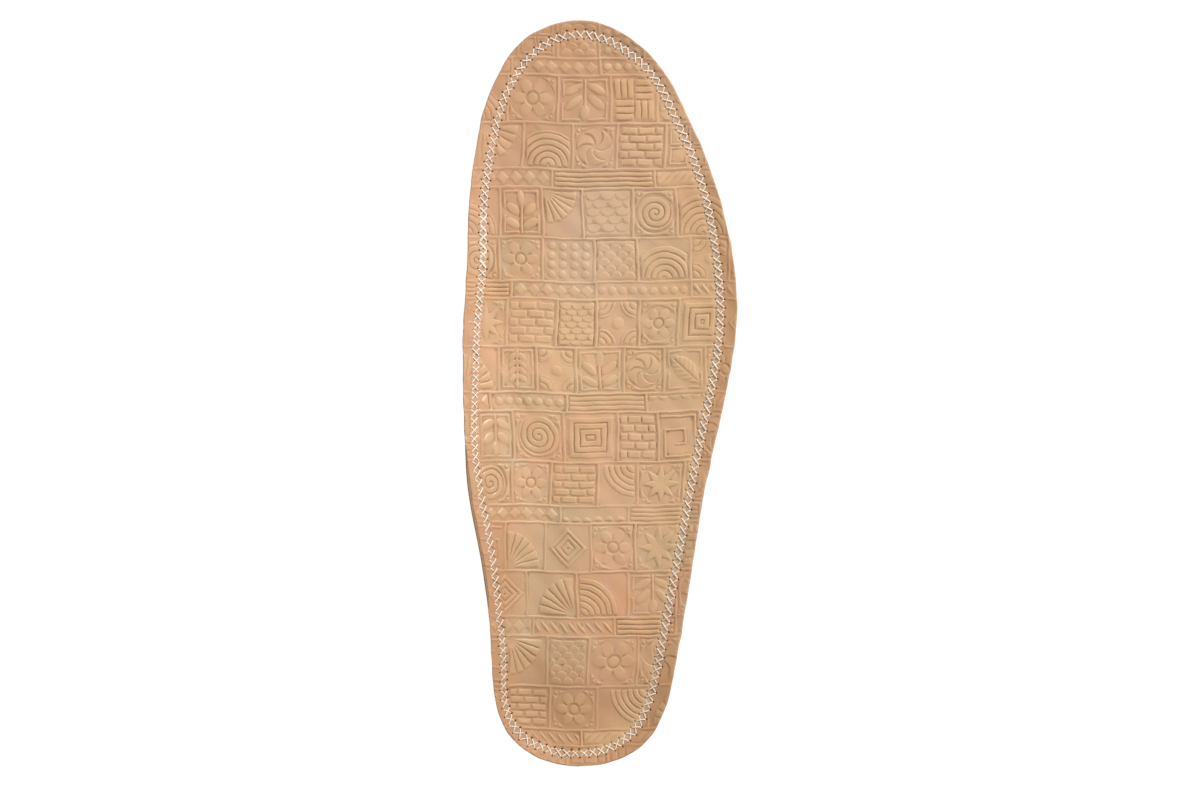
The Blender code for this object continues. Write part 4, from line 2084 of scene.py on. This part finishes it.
@dataclass
class Studio:
    """Pale floor, soft light from the upper right, and a camera that looks down as the photograph does.

    Lengths are in metres, the sensor's in mm, and those in the photograph in pixels.
    """

    photo_width: float = 1200.0
    length_in_photo: float = 745.0
    length: float = 0.285
    camera_height: float = 1.6
    camera_aside: float = -0.06
    target_height: float = 0.008
    sensor: float = 36.0
    key_from: tuple[float, float, float] = (0.64, 0.82, 0.74)
    key_size: float = 0.26
    key_power: float = 15.6
    sky: float = 0.5
    floor_half: float = 3.0
    floor_drop: float = 0.0001

    def build(self) -> None:
        """Make the floor, the light and the camera."""
        self.floor()
        self.lights()
        self.camera()

    def floor(self) -> None:
        """A broad plane a hair under the insole, so that no two faces lie in one plane."""
        half = self.floor_half
        plan = ((-half, -half), (half, -half), (half, half), (-half, half))
        mesh = bpy.data.meshes.new("floor")
        mesh.from_pydata([(x, y, -self.floor_drop) for x, y in plan], [], [(0, 1, 2, 3)])
        mesh.materials.append(FloorFinish().make())
        floor = bpy.data.objects.new("floor", mesh)
        bpy.context.scene.collection.objects.link(floor)

    def lights(self) -> None:
        """One large square light aimed at the insole, and an even sky."""
        light = bpy.data.lights.new("key", "AREA")
        light.size = self.key_size
        light.energy = self.key_power
        key = bpy.data.objects.new("key", light)
        key.location = self.key_from
        key.rotation_mode = "QUATERNION"
        key.rotation_quaternion = (-Vector(self.key_from)).to_track_quat("-Z", "Y")
        bpy.context.scene.collection.objects.link(key)
        world = bpy.data.worlds.new("sky")
        world.use_nodes = True
        back = world.node_tree.nodes["Background"]
        back.inputs["Color"].default_value = (1.0, 1.0, 1.0, 1.0)
        back.inputs["Strength"].default_value = self.sky
        bpy.context.scene.world = world
        bpy.context.scene.view_settings.view_transform = "Standard"

    def camera(self) -> None:
        """A long lens above the insole, which it shows as tall in the frame as the photograph does."""
        data = bpy.data.cameras.new("camera")
        place = Vector((self.camera_aside, 0.0, self.camera_height))
        target = Vector((0.0, 0.0, self.target_height))
        distance = (place - target).length
        focal_pixels = self.length_in_photo * distance / self.length
        data.sensor_width = self.sensor
        data.lens = focal_pixels / self.photo_width * self.sensor
        camera = bpy.data.objects.new("camera", data)
        camera.location = place
        back = (place - target).normalized()
        right = Vector((0.0, 1.0, 0.0)).cross(back).normalized()
        camera.rotation_mode = "QUATERNION"
        camera.rotation_quaternion = Matrix((right, back.cross(right), back)).transposed().to_quaternion()
        bpy.context.scene.collection.objects.link(camera)
        bpy.context.scene.camera = camera


def main() -> None:
    """Load the frame, build and dress each piece, log its face count, and light it."""
    logging.basicConfig(level=logging.INFO, format="%(name)s: %(message)s")
    for old in list(bpy.data.objects):
        bpy.data.objects.remove(old, do_unlink=True)
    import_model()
    effects = SharedEffects.make()
    foot = FootShape()
    seam = SeamLine(foot)
    pieces = (
        (EmbossedCover(foot, seam), LeatherFinish()),
        (CrossStitches(seam), ThreadFinish()),
        (FoamBase(foot), FoamFinish()),
    )
    for piece, finish in pieces:
        made = piece.build()
        piece.dress(made, finish.make(effects))
        LOG.info("%s: %d faces", made.name, len(made.data.polygons))
    Studio().build()


if __name__ == "__main__":
    main()
